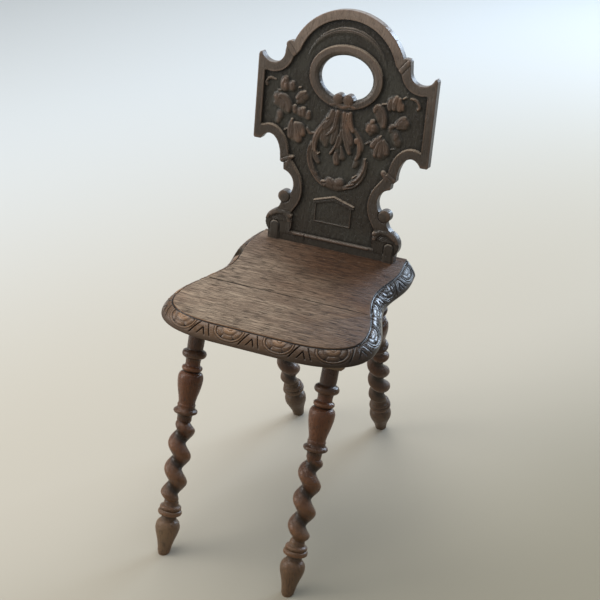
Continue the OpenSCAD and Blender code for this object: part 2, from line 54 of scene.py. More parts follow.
def make_piece(name, points, faces, nodes, masks, sharp=38):
    """Closed mesh from points in mm and arrays of corner numbers, one face to a row. It
    stands for the named CAD nodes."""
    faces = [np.atleast_2d(rows) for rows in faces]
    corners = np.concatenate([rows.ravel() for rows in faces]).astype(np.int32)
    sizes = np.concatenate([np.full(len(rows), rows.shape[1]) for rows in faces])
    mesh = bpy.data.meshes.new(name)
    mesh.vertices.add(len(points))
    mesh.vertices.foreach_set("co", (points * 0.001).astype(np.float32).ravel())
    mesh.loops.add(len(corners))
    mesh.loops.foreach_set("vertex_index", corners)
    mesh.polygons.add(len(sizes))
    mesh.polygons.foreach_set("loop_start", (np.cumsum(sizes) - sizes).astype(np.int32))
    mesh.update(calc_edges=True)
    mesh.validate()
    for key, values in masks.items():
        layer = mesh.attributes.new(key, "FLOAT", "POINT")
        layer.data.foreach_set("value", values.astype(np.float32))
    mesh.polygons.foreach_set("use_smooth", np.ones(len(mesh.polygons), bool))
    mesh.set_sharp_from_angle(angle=np.radians(sharp))
    piece = bpy.data.objects.new(name, mesh)
    bpy.context.scene.collection.objects.link(piece)
    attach(piece, "root")
    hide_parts(*nodes)
    return piece


def grid_faces(rows, columns, first=0, closed=True):
    """Corner numbers of the quads between rows of points, row after row. Closed rows join
    their last point to their first."""
    j = np.arange(columns if closed else columns - 1)
    k = np.arange(rows - 1)[:, None]
    a = first + k * columns + j
    b = first + k * columns + (j + 1) % columns
    return np.stack([a, b, b + columns, a + columns], -1).reshape(-1, 4)


def smooth_path(points, steps=6):
    """Catmull-Rom curve through the points, with that many steps in each span."""
    p = np.vstack([2 * points[0] - points[1], points, 2 * points[-1] - points[-2]])
    t = (np.arange(steps) / steps)[:, None]
    spans = []
    for a, b, c, d in zip(p[:-3], p[1:-2], p[2:-1], p[3:]):
        spans.append(0.5 * (2 * b + (c - a) * t + (2 * a - 5 * b + 4 * c - d) * t ** 2
                            + (3 * b - a - 3 * c + d) * t ** 3))
    return np.vstack(spans + [p[-2:-1]])


def ripple(x, y, length, seed):
    """Uneven surface of handwork: nine plane waves of about one length in fixed directions."""
    pick = np.random.default_rng(seed)
    total = np.zeros(np.shape(x))
    for _ in range(9):
        turn, phase = pick.uniform(0, 2 * np.pi, 2)
        size = 2 * np.pi / (length * pick.uniform(0.7, 1.5))
        total += np.sin(size * (x * np.cos(turn) + y * np.sin(turn)) + phase)
    return total / 4.0


def blur(values, reach):
    """Mean over a square of neighbours on a grid, taken twice."""
    for axis in (0, 1, 0, 1):
        pad = [(reach + 1, reach) if i == axis else (0, 0) for i in (0, 1)]
        total = np.cumsum(np.pad(values, pad, mode="edge"), axis=axis)
        high = np.take(total, np.arange(2 * reach + 1, total.shape[axis]), axis=axis)
        low = np.take(total, np.arange(total.shape[axis] - 2 * reach - 1), axis=axis)
        values = (high - low) / (2 * reach + 1)
    return values


def ramp(value, width):
    """Rises evenly from 0 to 1 as value goes from 0 to width."""
    return np.clip(value / width, 0, 1)


def step_up(value, width):
    """Rises smoothly from 0 to 1 as value goes from 0 to width."""
    t = ramp(value, width)
    return t * t * (3 - 2 * t)


def ridge_height(away, half_width, height):
    """Rounded ridge: height times the root of 1 - (away / half width) squared."""
    return height * np.sqrt(np.clip(1 - (away / half_width) ** 2, 0, 1))


def groove_depth(away, half_width, depth):
    """V-shaped groove with a soft floor, from the distance to its line."""
    return depth * np.clip(1 - np.abs(away) / half_width, 0, 1) ** 0.8


def soft_union(a, b, reach=1.5):
    """The higher of two heights, with the crease between them filled where they differ by
    less than the reach."""
    return np.maximum(a, b) + np.clip(reach - np.abs(a - b), 0, None) ** 2 / (4 * reach)


def to_segments(x, h, line):
    """Distance from each point to each segment of a line, and the share of the segment, from
    0 to 1, at which it is nearest."""
    a = line[:-1]
    edge = line[1:] - a
    length = np.maximum((edge ** 2).sum(1), 1e-9)
    px, ph = x[:, None] - a[:, 0], h[:, None] - a[:, 1]
    t = np.clip((px * edge[:, 0] + ph * edge[:, 1]) / length, 0, 1)
    return np.hypot(px - t * edge[:, 0], ph - t * edge[:, 1]), t


def line_distance(x, h, *points):
    """Distance from each point to a line through the given points."""
    return to_segments(x, h, np.array(points, float))[0].min(1)


def distance_to(polygon, x, y, batch=20000):
    """Signed distance from each point to a closed outline, negative inside it: the least
    distance to any of its edges, with its sign from counting the edges that a ray crosses."""
    a, b = polygon, np.roll(polygon, -1, axis=0)
    edge = b - a
    rise = np.where(np.abs(edge[:, 1]) < 1e-9, 1e-9, edge[:, 1])
    result = np.empty(x.size)
    for low in range(0, x.size, batch):
        px, py = (values.ravel()[low:low + batch] for values in (x, y))
        away = to_segments(px, py, np.vstack([a, a[:1]]))[0].min(1)
        px, py = px[:, None], py[:, None]
        spans = (a[:, 1] > py) != (b[:, 1] > py)
        crossed = spans & (px < a[:, 0] + (py - a[:, 1]) * edge[:, 0] / rise)
        result[low:low + batch] = np.where(crossed.sum(1) % 2 == 1, -away, away)
    return result.reshape(x.shape)


# ---------------------------------------------------------------- outline of the back board

BOARD_THICK = 18.0
GROUND = 5.0
# step of the grid of points, and width of the raised straps
PITCH = 1.1
STRAP = 17
# rear arris of the board: how far it is set in, and how deep
REAR_INSET, REAR_BEVEL = 0.9, 1.1
# region that the grid covers, with a margin round the board
GRID_X, GRID_H = (-176, 176.01), (-0.55, 455)
# middles (x, h) and radii of the outline's arcs
ARCH, ARCH_R = (0, 338.5), 114.5
SCOOP, SCOOP_R = (145.5, 362.5), 24
BAY, BAY_R, BAY_TALL = (141.5, 160), 25, 44.5
NECK, NECK_R = (113, 112), 28.3
KNOB, KNOB_R = (102, 87.5), 12
SCROLL, SCROLL_R = (110, 34), 26.5
# heights of the notch beside the arch, of the ear and of the wing's lower edge
NOTCH_H, EAR_H, WING_LOW = 381, 354.1, 191.5
WING_HALF = 174
HOLE_H, HOLE_HALF, HOLE_TALL = 330, 52.5, 41.5
# lobes of the knot: x, h and radius
KNOT = ((-10.3, 291.6, 9.6), (9.4, 291.9, 9.6))
# tenons under the board: middle, half width, lower and upper end, front and rear depth
TENON_X, TENON_HALF, TENON_ENDS, TENON_DEPTHS = 53, 20, (-59.5, 6), (2.5, 15.5)


def arc(cx, cy, rx, start, end, count, ry=None):
    """Points on an oval round (cx, cy) from one angle to another, in degrees."""
    t = np.radians(np.linspace(start, end, count))
    return np.stack([cx + rx * np.cos(t), cy + (ry or rx) * np.sin(t)], -1)


def sweep(a, b, bulge, count):
    """Points on a parabola from a to b whose middle is pulled sideways by bulge."""
    t = np.linspace(0, 1, count)[:, None]
    middle = (a + b) / 2 + bulge * np.array([b[1] - a[1], a[0] - b[0]])
    return (1 - t) ** 2 * a + 2 * t * (1 - t) * middle + t ** 2 * b


def rise_angle(height, middle, radius):
    """Angle in degrees at which an arc reaches a height."""
    return np.degrees(np.arcsin((height - middle[1]) / radius))


def both_halves(parts):
    """Outline from its right half, which runs from the top middle to the bottom middle."""
    half = np.vstack(parts)
    other = half[::-1] * [-1, 1]
    return np.vstack([half, other[np.abs(other[:, 0]) > 0.01]])


NOTCH = rise_angle(NOTCH_H, ARCH, ARCH_R)
EAR_X = SCOOP[0] + np.sqrt(SCOOP_R ** 2 - (SCOOP[1] - EAR_H) ** 2)
CROTCH = arc(*KNOB, KNOB_R, 150, 150, 1)[0] - NECK
NECK_END = 360 + np.degrees(np.arctan2(CROTCH[1], CROTCH[0]))
BOARD_OUTLINE = both_halves([
    arc(*ARCH, ARCH_R, 90, NOTCH, 60),
    [[108, 383.2], [116, 382.6], [119.8, 379]],
    arc(*SCOOP, SCOOP_R, 180, 360 + rise_angle(EAR_H, SCOOP, SCOOP_R), 34),
    [[EAR_X + 2, EAR_H + 1], [WING_HALF - 2, EAR_H], [WING_HALF, EAR_H - 4],
     [WING_HALF, WING_LOW + 2], [WING_HALF - 2, WING_LOW]],
    arc(*BAY, BAY_R, rise_angle(WING_LOW, BAY, BAY_TALL), 183, 46, BAY_TALL),
    [[113.5, 153.5], [108.5, 152.5]],
    arc(*NECK, NECK_R, 101, NECK_END, 36),
    arc(*KNOB, KNOB_R, 150, -65, 32),
    sweep(arc(*KNOB, KNOB_R, -65, -65, 1)[0], arc(*SCROLL, SCROLL_R, 62, 62, 1)[0], 0.28, 16),
    arc(*SCROLL, SCROLL_R, 55, -40, 30),
    [[130, 14], [129, 0], [0, 0]]])
GROUND_OUTLINE = both_halves([
    arc(*ARCH, ARCH_R - STRAP, 90, NOTCH - 4, 40),
    arc(*SCOOP, SCOOP_R + STRAP, 192, 285, 24),
    [[158.2, 321.2], [158.2, 218]],
    arc(*BAY, BAY_R + STRAP, 70, 172, 30, BAY_TALL + STRAP),
    arc(127, 104, 60, 145, 216, 24),
    arc(*SCROLL, 27.5, 140, 205, 10),
    [[88, 19], [0, 19]]])
# the left wing's strap is narrower than the right one's
GROUND_OUTLINE[(GROUND_OUTLINE[:, 0] < -158) & (GROUND_OUTLINE[:, 1] > 200), 0] -= 2.6


def hand_hole_outline(count=420):
    """Oval hand hole, seen from its middle as a radius for each angle, cut short where the
    ray meets one of the two lobes of the knot."""
    t = np.linspace(0, 2 * np.pi, count, endpoint=False)
    ux, uy = np.cos(t), np.sin(t)
    radius = 1 / np.sqrt((ux / HOLE_HALF) ** 2 + (uy / HOLE_TALL) ** 2)
    for cx, ch, r in KNOT:
        along = ux * cx + uy * (ch - HOLE_H)
        inside = r ** 2 - (cx ** 2 + (ch - HOLE_H) ** 2 - along ** 2)
        hit = along - np.sqrt(np.maximum(inside, 0))
        radius = np.where((inside > 0) & (along > 0), np.minimum(radius, hit), radius)
    return np.stack([radius * ux, HOLE_H + radius * uy], -1)


# ---------------------------------------------------------------- carving of the back board

# Strokes of the carving: height, depth of the vein, then x, h and half width of each point
LEAVES = (
    # low mounds that carry the leaves
    (2.8, 0, -14, 262, 11, -24, 238, 14, -32, 214, 12),
    (2.6, 0, 8, 262, 11, 12, 236, 11, 19, 210, 9),
    (3.4, 0, -127, 272, 13.5, -113, 258, 12),
    (3.2, 0, -116, 299, 10.5, -104, 299, 9),
    (3.2, 0, -79, 284, 10, -84, 277, 8),
    (3.4, 0, -94, 256, 7, -80, 253, 9, -68, 249, 8),
    (2.6, 0, -124, 244, 7, -127, 231, 6),
    (3.6, 0, -95, 228, 6, -90, 209, 14),
    (3.2, 0, 66, 282, 8, 72, 272, 9, 80, 256, 7),
    (3.4, 0, 57, 248, 10, 64, 248, 9),
    (3.4, 0, 97, 300, 13, 105, 297, 11),
    (3.2, 0, 109, 262, 8, 119, 266, 12),
    (2.6, 0, 104, 244, 9, 110, 232, 9.5),
    (3.4, 0, 77, 228, 8, 78, 207, 15),
    # bundle of leaves under the knot, left of its middle
    (4.6, 0.9, -20, 266, 4, -25, 252, 4.6, -33, 240, 5.4, -42, 226, 6.2, -48, 212, 6.6, -50, 198,
     5.2, -48.5, 187, 3.6),
    (3.4, 0.5, -49, 184, 4, -46, 176, 6.6, -40, 167, 5.4),
    (4.3, 0.8, -16, 264, 3.6, -19, 250, 4.4, -26, 240, 4.6, -33, 231, 3),
    (5, 1, -9, 266, 4.8, -11, 250, 4.8, -13, 237, 4.6, -19, 227.5, 3.4, -27, 220, 1.9),
    (3.2, 0.8, -27, 243, 6, -33, 226, 9, -35, 213, 6),
    (2.6, 0.8, -20, 232, 5, -27, 216, 8, -28, 202, 6),
    (5.4, 0, -47, 203, 1.4, -46.8, 192, 1.8, -45, 184.5, 2, -41, 181, 1.9, -38.6, 184, 1.4),
    (4.7, 0, -3, 222, 1.5, -5, 212, 2.4, -8.5, 201, 2.8, -13, 192, 2.6, -17, 186, 2.2),
    (2.6, 1.3, -3, 268, 5, -3.4, 238, 6, -3, 210, 7, -4, 190, 5),
    (3.5, 0.9, -8, 240, 4, -12, 224, 7.4, -15, 208, 5),
    (3.9, 0.9, 1, 232, 3, 0, 216, 6, -3, 203, 5),
    (4.6, 0.8, -6, 189, 4, -4.6, 180, 7.4, -3.4, 172.5, 7),
    (3.7, 0.6, 3, 203, 2, 6, 192, 4.4, 7, 184, 6.8),
    # right of its middle
    (4.4, 1.1, 4, 266, 4, 4.4, 248, 4.2, 6.5, 232, 4.2, 10.5, 218, 5.2, 16, 205, 6.2, 20.5, 194.5,
     5),
    (4.7, 1.1, 9.5, 266, 3, 10, 248, 4, 13, 234, 5, 18.5, 221, 7, 22, 213, 5.6),
    (4.9, 1.1, 15, 266, 4.8, 16, 254, 5.2, 19, 244, 5.2, 23.5, 236, 4),
    (4.6, 0, 30.5, 220, 3.4, 31.5, 216, 3.4),
    (4.4, 0.8, 34, 222, 3.8, 39, 211, 5.2, 39.6, 200, 4.8, 37.5, 190, 4.2, 34.5, 184, 3.2),
    (2.6, 0.4, 27, 238, 4, 35, 227, 5.4, 43, 214, 5, 45, 204, 3.4),
    (2.8, 0.4, 36.5, 179, 5.8, 34, 173, 5.2, 31.5, 170, 3.4),
    # left cluster
    (4.6, 0.5, -118.5, 296, 9, -119, 303, 9.2, -117, 311, 6),
    (5.4, 0, -115, 295.5, 5.2, -115.5, 301, 4.6),
    (4.3, 0.6, -103, 296.5, 6.4, -102.8, 304, 5.8),
    (3.6, 0, -90, 298.6, 1.6, -86, 299.6, 1.5),
    (2.8, 0, -130, 287.4, 2.2, -125, 288.6, 2),
    (3.9, 0, -82, 283, 7.6, -76.5, 285, 8.2),
    (4.8, 0.7, -91.5, 279, 4, -85, 287, 4.8, -77, 291.6, 3.4),
    (3.4, 0.7, -90, 271.5, 4, -82, 278.5, 5.2),
    (4.8, 0, -133, 275, 7, -130, 274, 6.6),
    (4.6, 0.6, -126, 279, 4.4, -117, 276.6, 6, -110, 270, 7, -106.4, 262, 7, -107, 253.6, 5),
    (4.3, 0.4, -132, 268, 5.4, -124, 267, 6.4, -118, 262, 5.4),
    (3.2, 0, -135, 263, 4.6, -130, 261.6, 5),
    (2.8, 0, -121.6, 258, 6, -121.5, 258, 6),
    (4.2, 0, -124, 245, 7, -123.4, 240, 6.6),
    (3.2, 0, -126, 233.4, 5, -126.6, 230, 4.4),
    (4.8, 0.5, -95.2, 261, 5, -94, 254, 5.2),
    (4.9, 0, -83.6, 256.6, 5.4, -82.6, 250.4, 5.4),
    (5, 0, -76.6, 257.6, 5.2, -76.8, 250.6, 5.4),
    (5, 0, -80, 260.6, 3.4, -76, 261, 3.2),
    (4.3, 0.5, -66.6, 254, 5.2, -67, 246.4, 5.4),
    (4.5, 1, -98.6, 237, 2.6, -100.4, 222, 6.6, -99.8, 207, 7.4),
    (5, 1.1, -91.6, 231, 3, -86.6, 218, 7, -83.4, 202.6, 8),
    (4.5, 1, -88, 230, 4, -80, 225, 8, -76, 214.6, 7),
    (3, 0, -113, 214.8, 1.7, -106.6, 219, 1.5),
    (2.8, 0, -67, 224.6, 3.2, -61, 218, 3.6, -52, 219.6, 2),
    (3.4, 0, -155, 296, 4.4, -154.6, 296.6, 4.2),
    (3.4, 0, -157, 299, 2.6, -153, 305.6, 2.8, -147, 308.2, 2.4, -137, 306.6, 1.2),
    (5, 0, -30.5, 250.4, 1.5, -25.6, 254, 1.7),
    (5, 0, -30, 244.4, 1.5, -25.6, 248, 1.7),
    # right cluster
    (5, 0.9, 100.6, 309.6, 5, 98, 300, 5.8, 97.6, 290.6, 5),
    (4.7, 0.8, 106.6, 308, 4, 107.4, 298, 5, 107.8, 289.6, 4.2),
    (4.3, 0.6, 89.8, 302.6, 5, 88.6, 294, 5.8, 89.4, 288, 4),
    (3.6, 0, 113, 299, 4, 113.4, 292, 4.2),
    (3.6, 0, 74, 294.2, 1.8, 82.4, 296, 1.7),
    (4.8, 0.8, 61.6, 279, 3.2, 62, 284.6, 4.4, 67, 288.4, 5.2, 73.6, 286, 5.8, 79.4, 277.6, 5.4,
     82, 268, 5.2, 81.8, 256, 4.8),
    (3.7, 0, 66.4, 275.6, 4, 70.8, 270, 5, 71, 264, 3.6),
    (4.5, 0.7, 105, 262, 2.4, 112, 270.6, 4.8, 119, 274, 5.6),
    (4.8, 0.7, 105, 259.6, 2.4, 115, 265.6, 5.4, 122.6, 267, 7.2),
    (4, 0.7, 108, 256.6, 2.6, 116, 259.6, 5, 121, 261, 6),
    (3.8, 0, 94.6, 254.6, 4.8, 99, 258, 4, 105, 260, 2.6),
    (3, 0, 95, 249, 4.6, 95.1, 249, 4.6),
    (3.9, 0, 106.8, 242.4, 5.8, 106, 236, 5),
    (3, 0, 111.4, 231, 7.6, 111, 228.6, 7),
    (4.5, 0, 58.6, 259, 4.8, 61, 260, 4.4),
    (4.9, 0.5, 54, 250, 6, 53, 243.6, 6.2),
    (5, 0.5, 62.6, 250, 7, 62, 245.6, 6.6),
    (3.3, 0, 57.6, 238.4, 5.6, 57.7, 238.4, 5.6),
    (4.6, 0.9, 78.6, 235.6, 1.8, 75, 230.4, 3.6, 69, 224, 5.8, 64.2, 216, 6.2),
    (5.1, 0.9, 76, 224, 3, 71.6, 209, 4.2, 70.4, 199, 4.6),
    (4.7, 1, 80, 228, 3, 80.4, 213, 5.2, 80, 201, 6),
    (4.6, 1, 84, 228, 3, 89.8, 216.6, 6.6, 91.4, 207, 6.6),
    (2.4, 0, 50, 216, 1.6, 58, 221, 1.8, 66, 222, 2),
    (3.5, 0, 127, 313, 1.9, 136, 311.8, 2.4, 142.4, 306, 3, 144.4, 299.6, 3.4, 142, 295.6, 2.8),
    (3.6, 0, 112.6, 310.4, 1.5, 117.6, 313.4, 1.7),
    (1.6, 0, 120, 321, 1.4, 121.6, 316, 1.7, 119.6, 312, 1.3),
    (2.2, 0, 99.6, 215, 1.4, 105.6, 216.2, 1.4),
    # scroll that hangs round the bundle, with its own small leaves and knot
    (3, 0, -56, 200, 3.2, -58.4, 184, 5, -57.4, 169, 6, -52.6, 156, 6.4, -45, 143, 6, -36, 133, 5,
     -24, 127, 3.4),
    (4.1, 0, -59.6, 194, 1.5, -61.2, 181, 2, -60, 168, 2.5, -55.4, 154, 2.5, -48, 141.6, 2.2, -38,
     131, 2.2, -27, 124, 2),
    (3.3, 0, -52.6, 192, 1.4, -54, 177, 1.8, -50.6, 163, 2, -46, 153, 1.6),
    (3.7, 0.5, -48.6, 147, 5, -42, 143.4, 4.4),
    (4.6, 0, -29, 130.8, 1.9, -21, 132, 1.9),
    (3.8, 0, -20.4, 127, 2.4, -24, 122.6, 1.8),
    (3, 0, 51, 186, 3, 51.6, 172, 5, 47.4, 158, 6, 40, 146, 6, 31, 137, 5, 22, 129, 3.4),
    (3.4, 0, -24, 126, 3.6, -12, 124.6, 6, 4, 124, 6.6, 20, 127, 4),
    (4.3, 0, 53.4, 188, 1.4, 53.2, 174, 2.2, 49.8, 162, 2.6, 43.4, 150, 2.6, 36.6, 143, 2.3, 32,
     140.6, 1.9),
    (2.9, 0, 57, 182, 1.4, 55.4, 164, 2, 49.6, 148, 2.4, 40, 135, 2.2, 28, 126.6, 1.6),
    (3.6, 0, 31, 147, 1.8, 38, 153, 1.7),
    (4.5, 0, 22, 131, 1.9, 28.6, 133.8, 2.2, 36, 137, 1.5),
    (4, 0, 17, 124, 2.1, 27.6, 128, 1.7),
    (4.6, 0, -15, 133, 7.6, -8, 131, 8),
    (5, 0, 3, 133, 8, 8, 134.4, 8.6),
    # rolls at the strap's steps
    (5.2, 0, -98, 164, 4.2, -91, 166, 3),
    (5.4, 0, -97, 160, 5, -101, 152, 6),
    (5.4, 0, 90, 168, 5, 99, 158, 7),
)


def stroke_height(x, h, height, vein, points):
    """Height of one carved stroke over its ground: height times (1 - u squared) to the power
    0.62, where u is the distance from the path over the half width there, less a soft groove
    1.1 mm to each side along the path, which fades at both ends. Outside the stroke it falls
    below the ground by 1.3 times the distance."""
    line = smooth_path(points)
    away, t = to_segments(x, h, line[:, :2])
    half = line[:-1, 2] + np.diff(line[:, 2]) * t
    best = (away / half).argmin(1)
    pick = np.arange(len(x)), best
    away, half = away[pick], half[pick]
    u = away / half
    along = (best + t[pick]) / (len(line) - 1)
    fade = np.clip(6 * along * (1 - along), 0, 1)
    rise = height * np.clip(1 - u ** 2, 0, 1) ** 0.62
    rise = rise - vein * fade * np.exp(-(away / 1.1) ** 2)
    return np.where(u < 1, np.maximum(rise, 0), -1.3 * (away - half))


def board_relief(x, h, to_edge, to_ground):
    """Height of the board's face over the sunk ground, at points (x, h). The straps keep the
    board's full height, the ring, ribs, gable, leaves and scrolls are raised from the ground,
    and the highest of them counts at each point. Also the marks of leaves and of patina."""
    side = np.abs(x)
    into_ground = np.maximum(-to_ground, 0)
    height = 0.35 * ripple(x, h, 9, 3) * step_up(into_ground, 4)
    strap = GROUND * (1 - step_up(into_ground, 1.3)) + 0.12 * ripple(x, h, 22, 5)
    # moulded line just inside the straps' inner edge
    strap = strap - groove_depth(to_ground - 3.4, 0.9, 0.35) * (to_ground > 0)
    height = np.where(into_ground < 1.5, np.maximum(strap, 0), height)

    # ring round the hand hole: a flat band, then a lip that slopes down to the hole
    ring = np.hypot(x / 72.5, (h - 331) / 59)
    band = np.hypot(x / 59.5, (h - 330.6) / 47.5)
    hole = np.hypot(x / HOLE_HALF, (h - HOLE_H) / HOLE_TALL)
    flat = GROUND * step_up((1 - ring) * 65, 1.6) + 0.1 * ripple(x, h, 15, 8)
    lip = np.clip((1 - band) / (1 - band + np.maximum(hole - 1, 0) + 1e-6), 0, 1)
    ring_rise = np.where(band < 1, GROUND - 0.6 - 3.2 * lip ** 0.8, flat)
    height = np.where(ring < 1, np.maximum(ring_rise, height), height)

    # crescent of fine ribs over the ring
    thick = 1.3 + 5.6 * np.clip(1 - (x / 77) ** 2, 0, 1) ** 0.8
    across = (np.hypot(x, h - 339.4) - 79.5 + 0.55 * thick) / thick
    crescent = 3.4 * np.clip(1 - across ** 2, 0, 1) ** 0.6 - 0.9 * np.clip(0.5 - across, 0, 1)
    for place, deep in ((0.42, 1.5), (-0.06, 1.2), (-0.5, 0.9)):
        crescent = crescent - groove_depth((across - place) * thick, 1.5, deep)
    height = np.maximum(height, crescent * ramp(79 - side, 5) * (h > 345))

    # base rail: a flat board with a bead along its top and one upright joint
    rail_rise = GROUND - 2.4 + np.maximum(0.15 * ripple(x, h, 30, 11),
                                          ridge_height(h - 17.3, 2.9, 2.8))
    rail_rise = rail_rise - groove_depth(x + 53 + 0.04 * h, 0.9, 2.2) * (h > 1)
    height = np.where((h < 20.5) & (side < 106), rail_rise, height)

    # gabled tablet: sunk face inside a fine raised line, under a slab with two fine edges
    off = np.abs(x + 0.5)
    eaves = 90 + 12.5 * (1 - off / 41)
    inner = np.minimum(np.minimum(37 - np.abs(x + 1), h - 49.5), eaves - 4 - h)
    face = np.where(inner > 2.6, 0.5 + 0.12 * ripple(x, h, 14, 13), 0)
    border = ridge_height(inner - 1.3, 1.5, 2.4) * (inner > -0.3)
    height = np.maximum(height, np.maximum(face, border))
    slab = h - eaves
    for edge in (1.9 * step_up(slab + 4.4, 1.0) * step_up(2.6 - slab, 1.0),
                 ridge_height(slab - 1.6, 1.7, 4.2), ridge_height(slab + 3.0, 1.3, 2.9)):
        height = np.maximum(height, edge * ramp(42 - off, 1.2))

    # scrolls, posts, caps and knobs at the board's feet
    outward = np.hypot(side - SCROLL[0], h - SCROLL[1])
    curl = GROUND - 0.4 + ridge_height(outward - 22.5, 4.0, 1.4)
    for away, deep in ((19.2, 1.5), (15.6, 1.2), (12.4, 1.0), (9.4, 0.8)):
        curl = curl - groove_depth(outward - away, 1.2, deep)
    curl = np.where(h > 38, curl, GROUND - 1.2 - 0.6 * step_up(side - 86, 6))
    scroll = (side > 78) & (h < 62) & (h > 14) & (to_edge < 0) & (to_ground > 0)
    height = np.where(scroll, curl, height)
    post = 9.2 - np.where(h < 27, np.abs(side - 117), np.hypot(side - 117, h - 27))
    height = np.where((post > 0) & (h < 37), GROUND - 0.8 + 1.5 * step_up(post, 1.8), height)
    beside = (h < 38) & (post < 0.2) & (side > 100)
    height = height - groove_depth(post + 0.9, 1.0, 1.0) * beside
    cap = np.minimum(line_distance(x, h, (-126, 47), (-114, 54), (-98, 56), (-86, 50)),
                     line_distance(x, h, (86, 50), (98, 56), (114, 54), (127, 46)))
    cap_rise = np.maximum(height, GROUND - 0.5 + ridge_height(cap, 4.2, 2.2))
    height = np.where(cap < 4.2, cap_rise, height)
    knob = np.hypot(side - KNOB[0], h - KNOB[1])
    height = np.where(knob < KNOB_R, GROUND - 0.6 + ridge_height(knob, 12.5, 1.8), height)
    height = height - groove_depth(knob - 12.4, 1.3, 1.8) * (side < 104)

    # bars across the strap where the arch meets the scoops, and at the steps below the wings
    for *line, half, top in (((-119, 379), (-104, 360), 4.6, 1.1),
                             ((119, 379), (104, 360), 4.6, 1.1),
                             ((-116, 155), (-99, 164), 3.4, 0.9),
                             ((117, 157), (97, 168), 3.4, 0.9)):
        away = line_distance(x, h, *line)
        bar = GROUND + ridge_height(away, half, top) - groove_depth(away - half - 0.8, 0.9, 1.0)
        height = np.where((away < half + 1.7) & (to_ground > -1), bar, height)

    # leaves, flowers, tendrils and scrolls
    plain = height.copy()
    for top, vein, *row in LEAVES:
        p = np.reshape(row, (-1, 3))
        reach = p[:, 2].max() * 1.12 + 2
        near = ((x > p[:, 0].min() - reach) & (x < p[:, 0].max() + reach)
                & (h > p[:, 1].min() - reach) & (h < p[:, 1].max() + reach))
        # the strokes are cut a tenth wider than the table says
        rise = stroke_height(x[near], h[near], top, vein, p * [1, 1, 1.1])
        height[near] = soft_union(height[near], rise)

    # knot of two lobes that reach into the hole, and the ribbon behind it
    for cx, ch, r in KNOT:
        away = np.hypot(x - cx, h - ch)
        lobe = GROUND - 1 + ridge_height(away, r + 1.2, 3.2)
        height = np.where(away < r + 1.2, np.maximum(height, lobe), height)
    ribbon = np.array([(-24, 279, 3), (-12, 281, 4), (0, 277, 4.5), (12, 281, 4), (24, 280, 3)])
    height = soft_union(height, stroke_height(x, h, 6.0, 0, ribbon))

    leaf = np.clip((height - plain) * 2, 0, 1)
    patina = ((side > 84) & (h < 60) | (h < 13.5) & (side < 110)).astype(float)
    patina = np.maximum(patina, 0.45 * (ring < 1))
    patina = np.maximum(patina, 0.55 * step_up(h - 300, 40) * step_up(side - 95, 25))
    # rounded outer arris
    worn = np.clip(1 + to_edge / 1.8, 0, 1)
    return height - 1.1 * (1 - ridge_height(worn, 1, 1)), leaf, patina * (1 - leaf)


def board_point(x, h, depth):
    """Place in the room of a point of the board: along x, up the lean and back into it."""
    return np.stack([x, FOOT_LINE + h * np.sin(LEAN) + depth * np.cos(LEAN),
                     SEAT_TOP + h * np.cos(LEAN) - depth * np.sin(LEAN)], -1)


def unit_slope(values):
    """Direction in which values on the board's grid grow, as its parts along x and h."""
    along_h, along_x = np.gradient(values, PITCH)
    size = np.maximum(np.hypot(along_x, along_h), 0.3)
    return along_x / size, along_h / size


def cell_corners(grid):
    """Values at the four corners of every cell of a grid."""
    return [grid[:-1, :-1], grid[:-1, 1:], grid[1:, 1:], grid[1:, :-1]]


def rings_of(edges):
    """Rings of point numbers, longest first, from edges that run head to tail."""
    follow = dict(edges.tolist())
    rings = []
    while follow:
        start, here = follow.popitem()
        ring = [start]
        while here != start:
            ring.append(here)
            here = follow.pop(here)
        rings.append(np.array(ring))
    return sorted(rings, key=len, reverse=True)


def rear_faces(rings, points):
    """Flat rear face inside the outline and outside the hole, as triangles that use only the
    points of the two rings and look backwards."""
    flat = [[(float(points[k, 0]), float(points[k, 2]), 0.0) for k in ring] for ring in rings]
    faces = np.concatenate(rings)[np.array(tessellate_polygon(flat))]
    a, b, c = (points[faces[:, k]] for k in range(3))
    turned = np.cross(b - a, c - a)[:, 1] < 0
    faces[turned] = faces[turned][:, ::-1]
    return faces


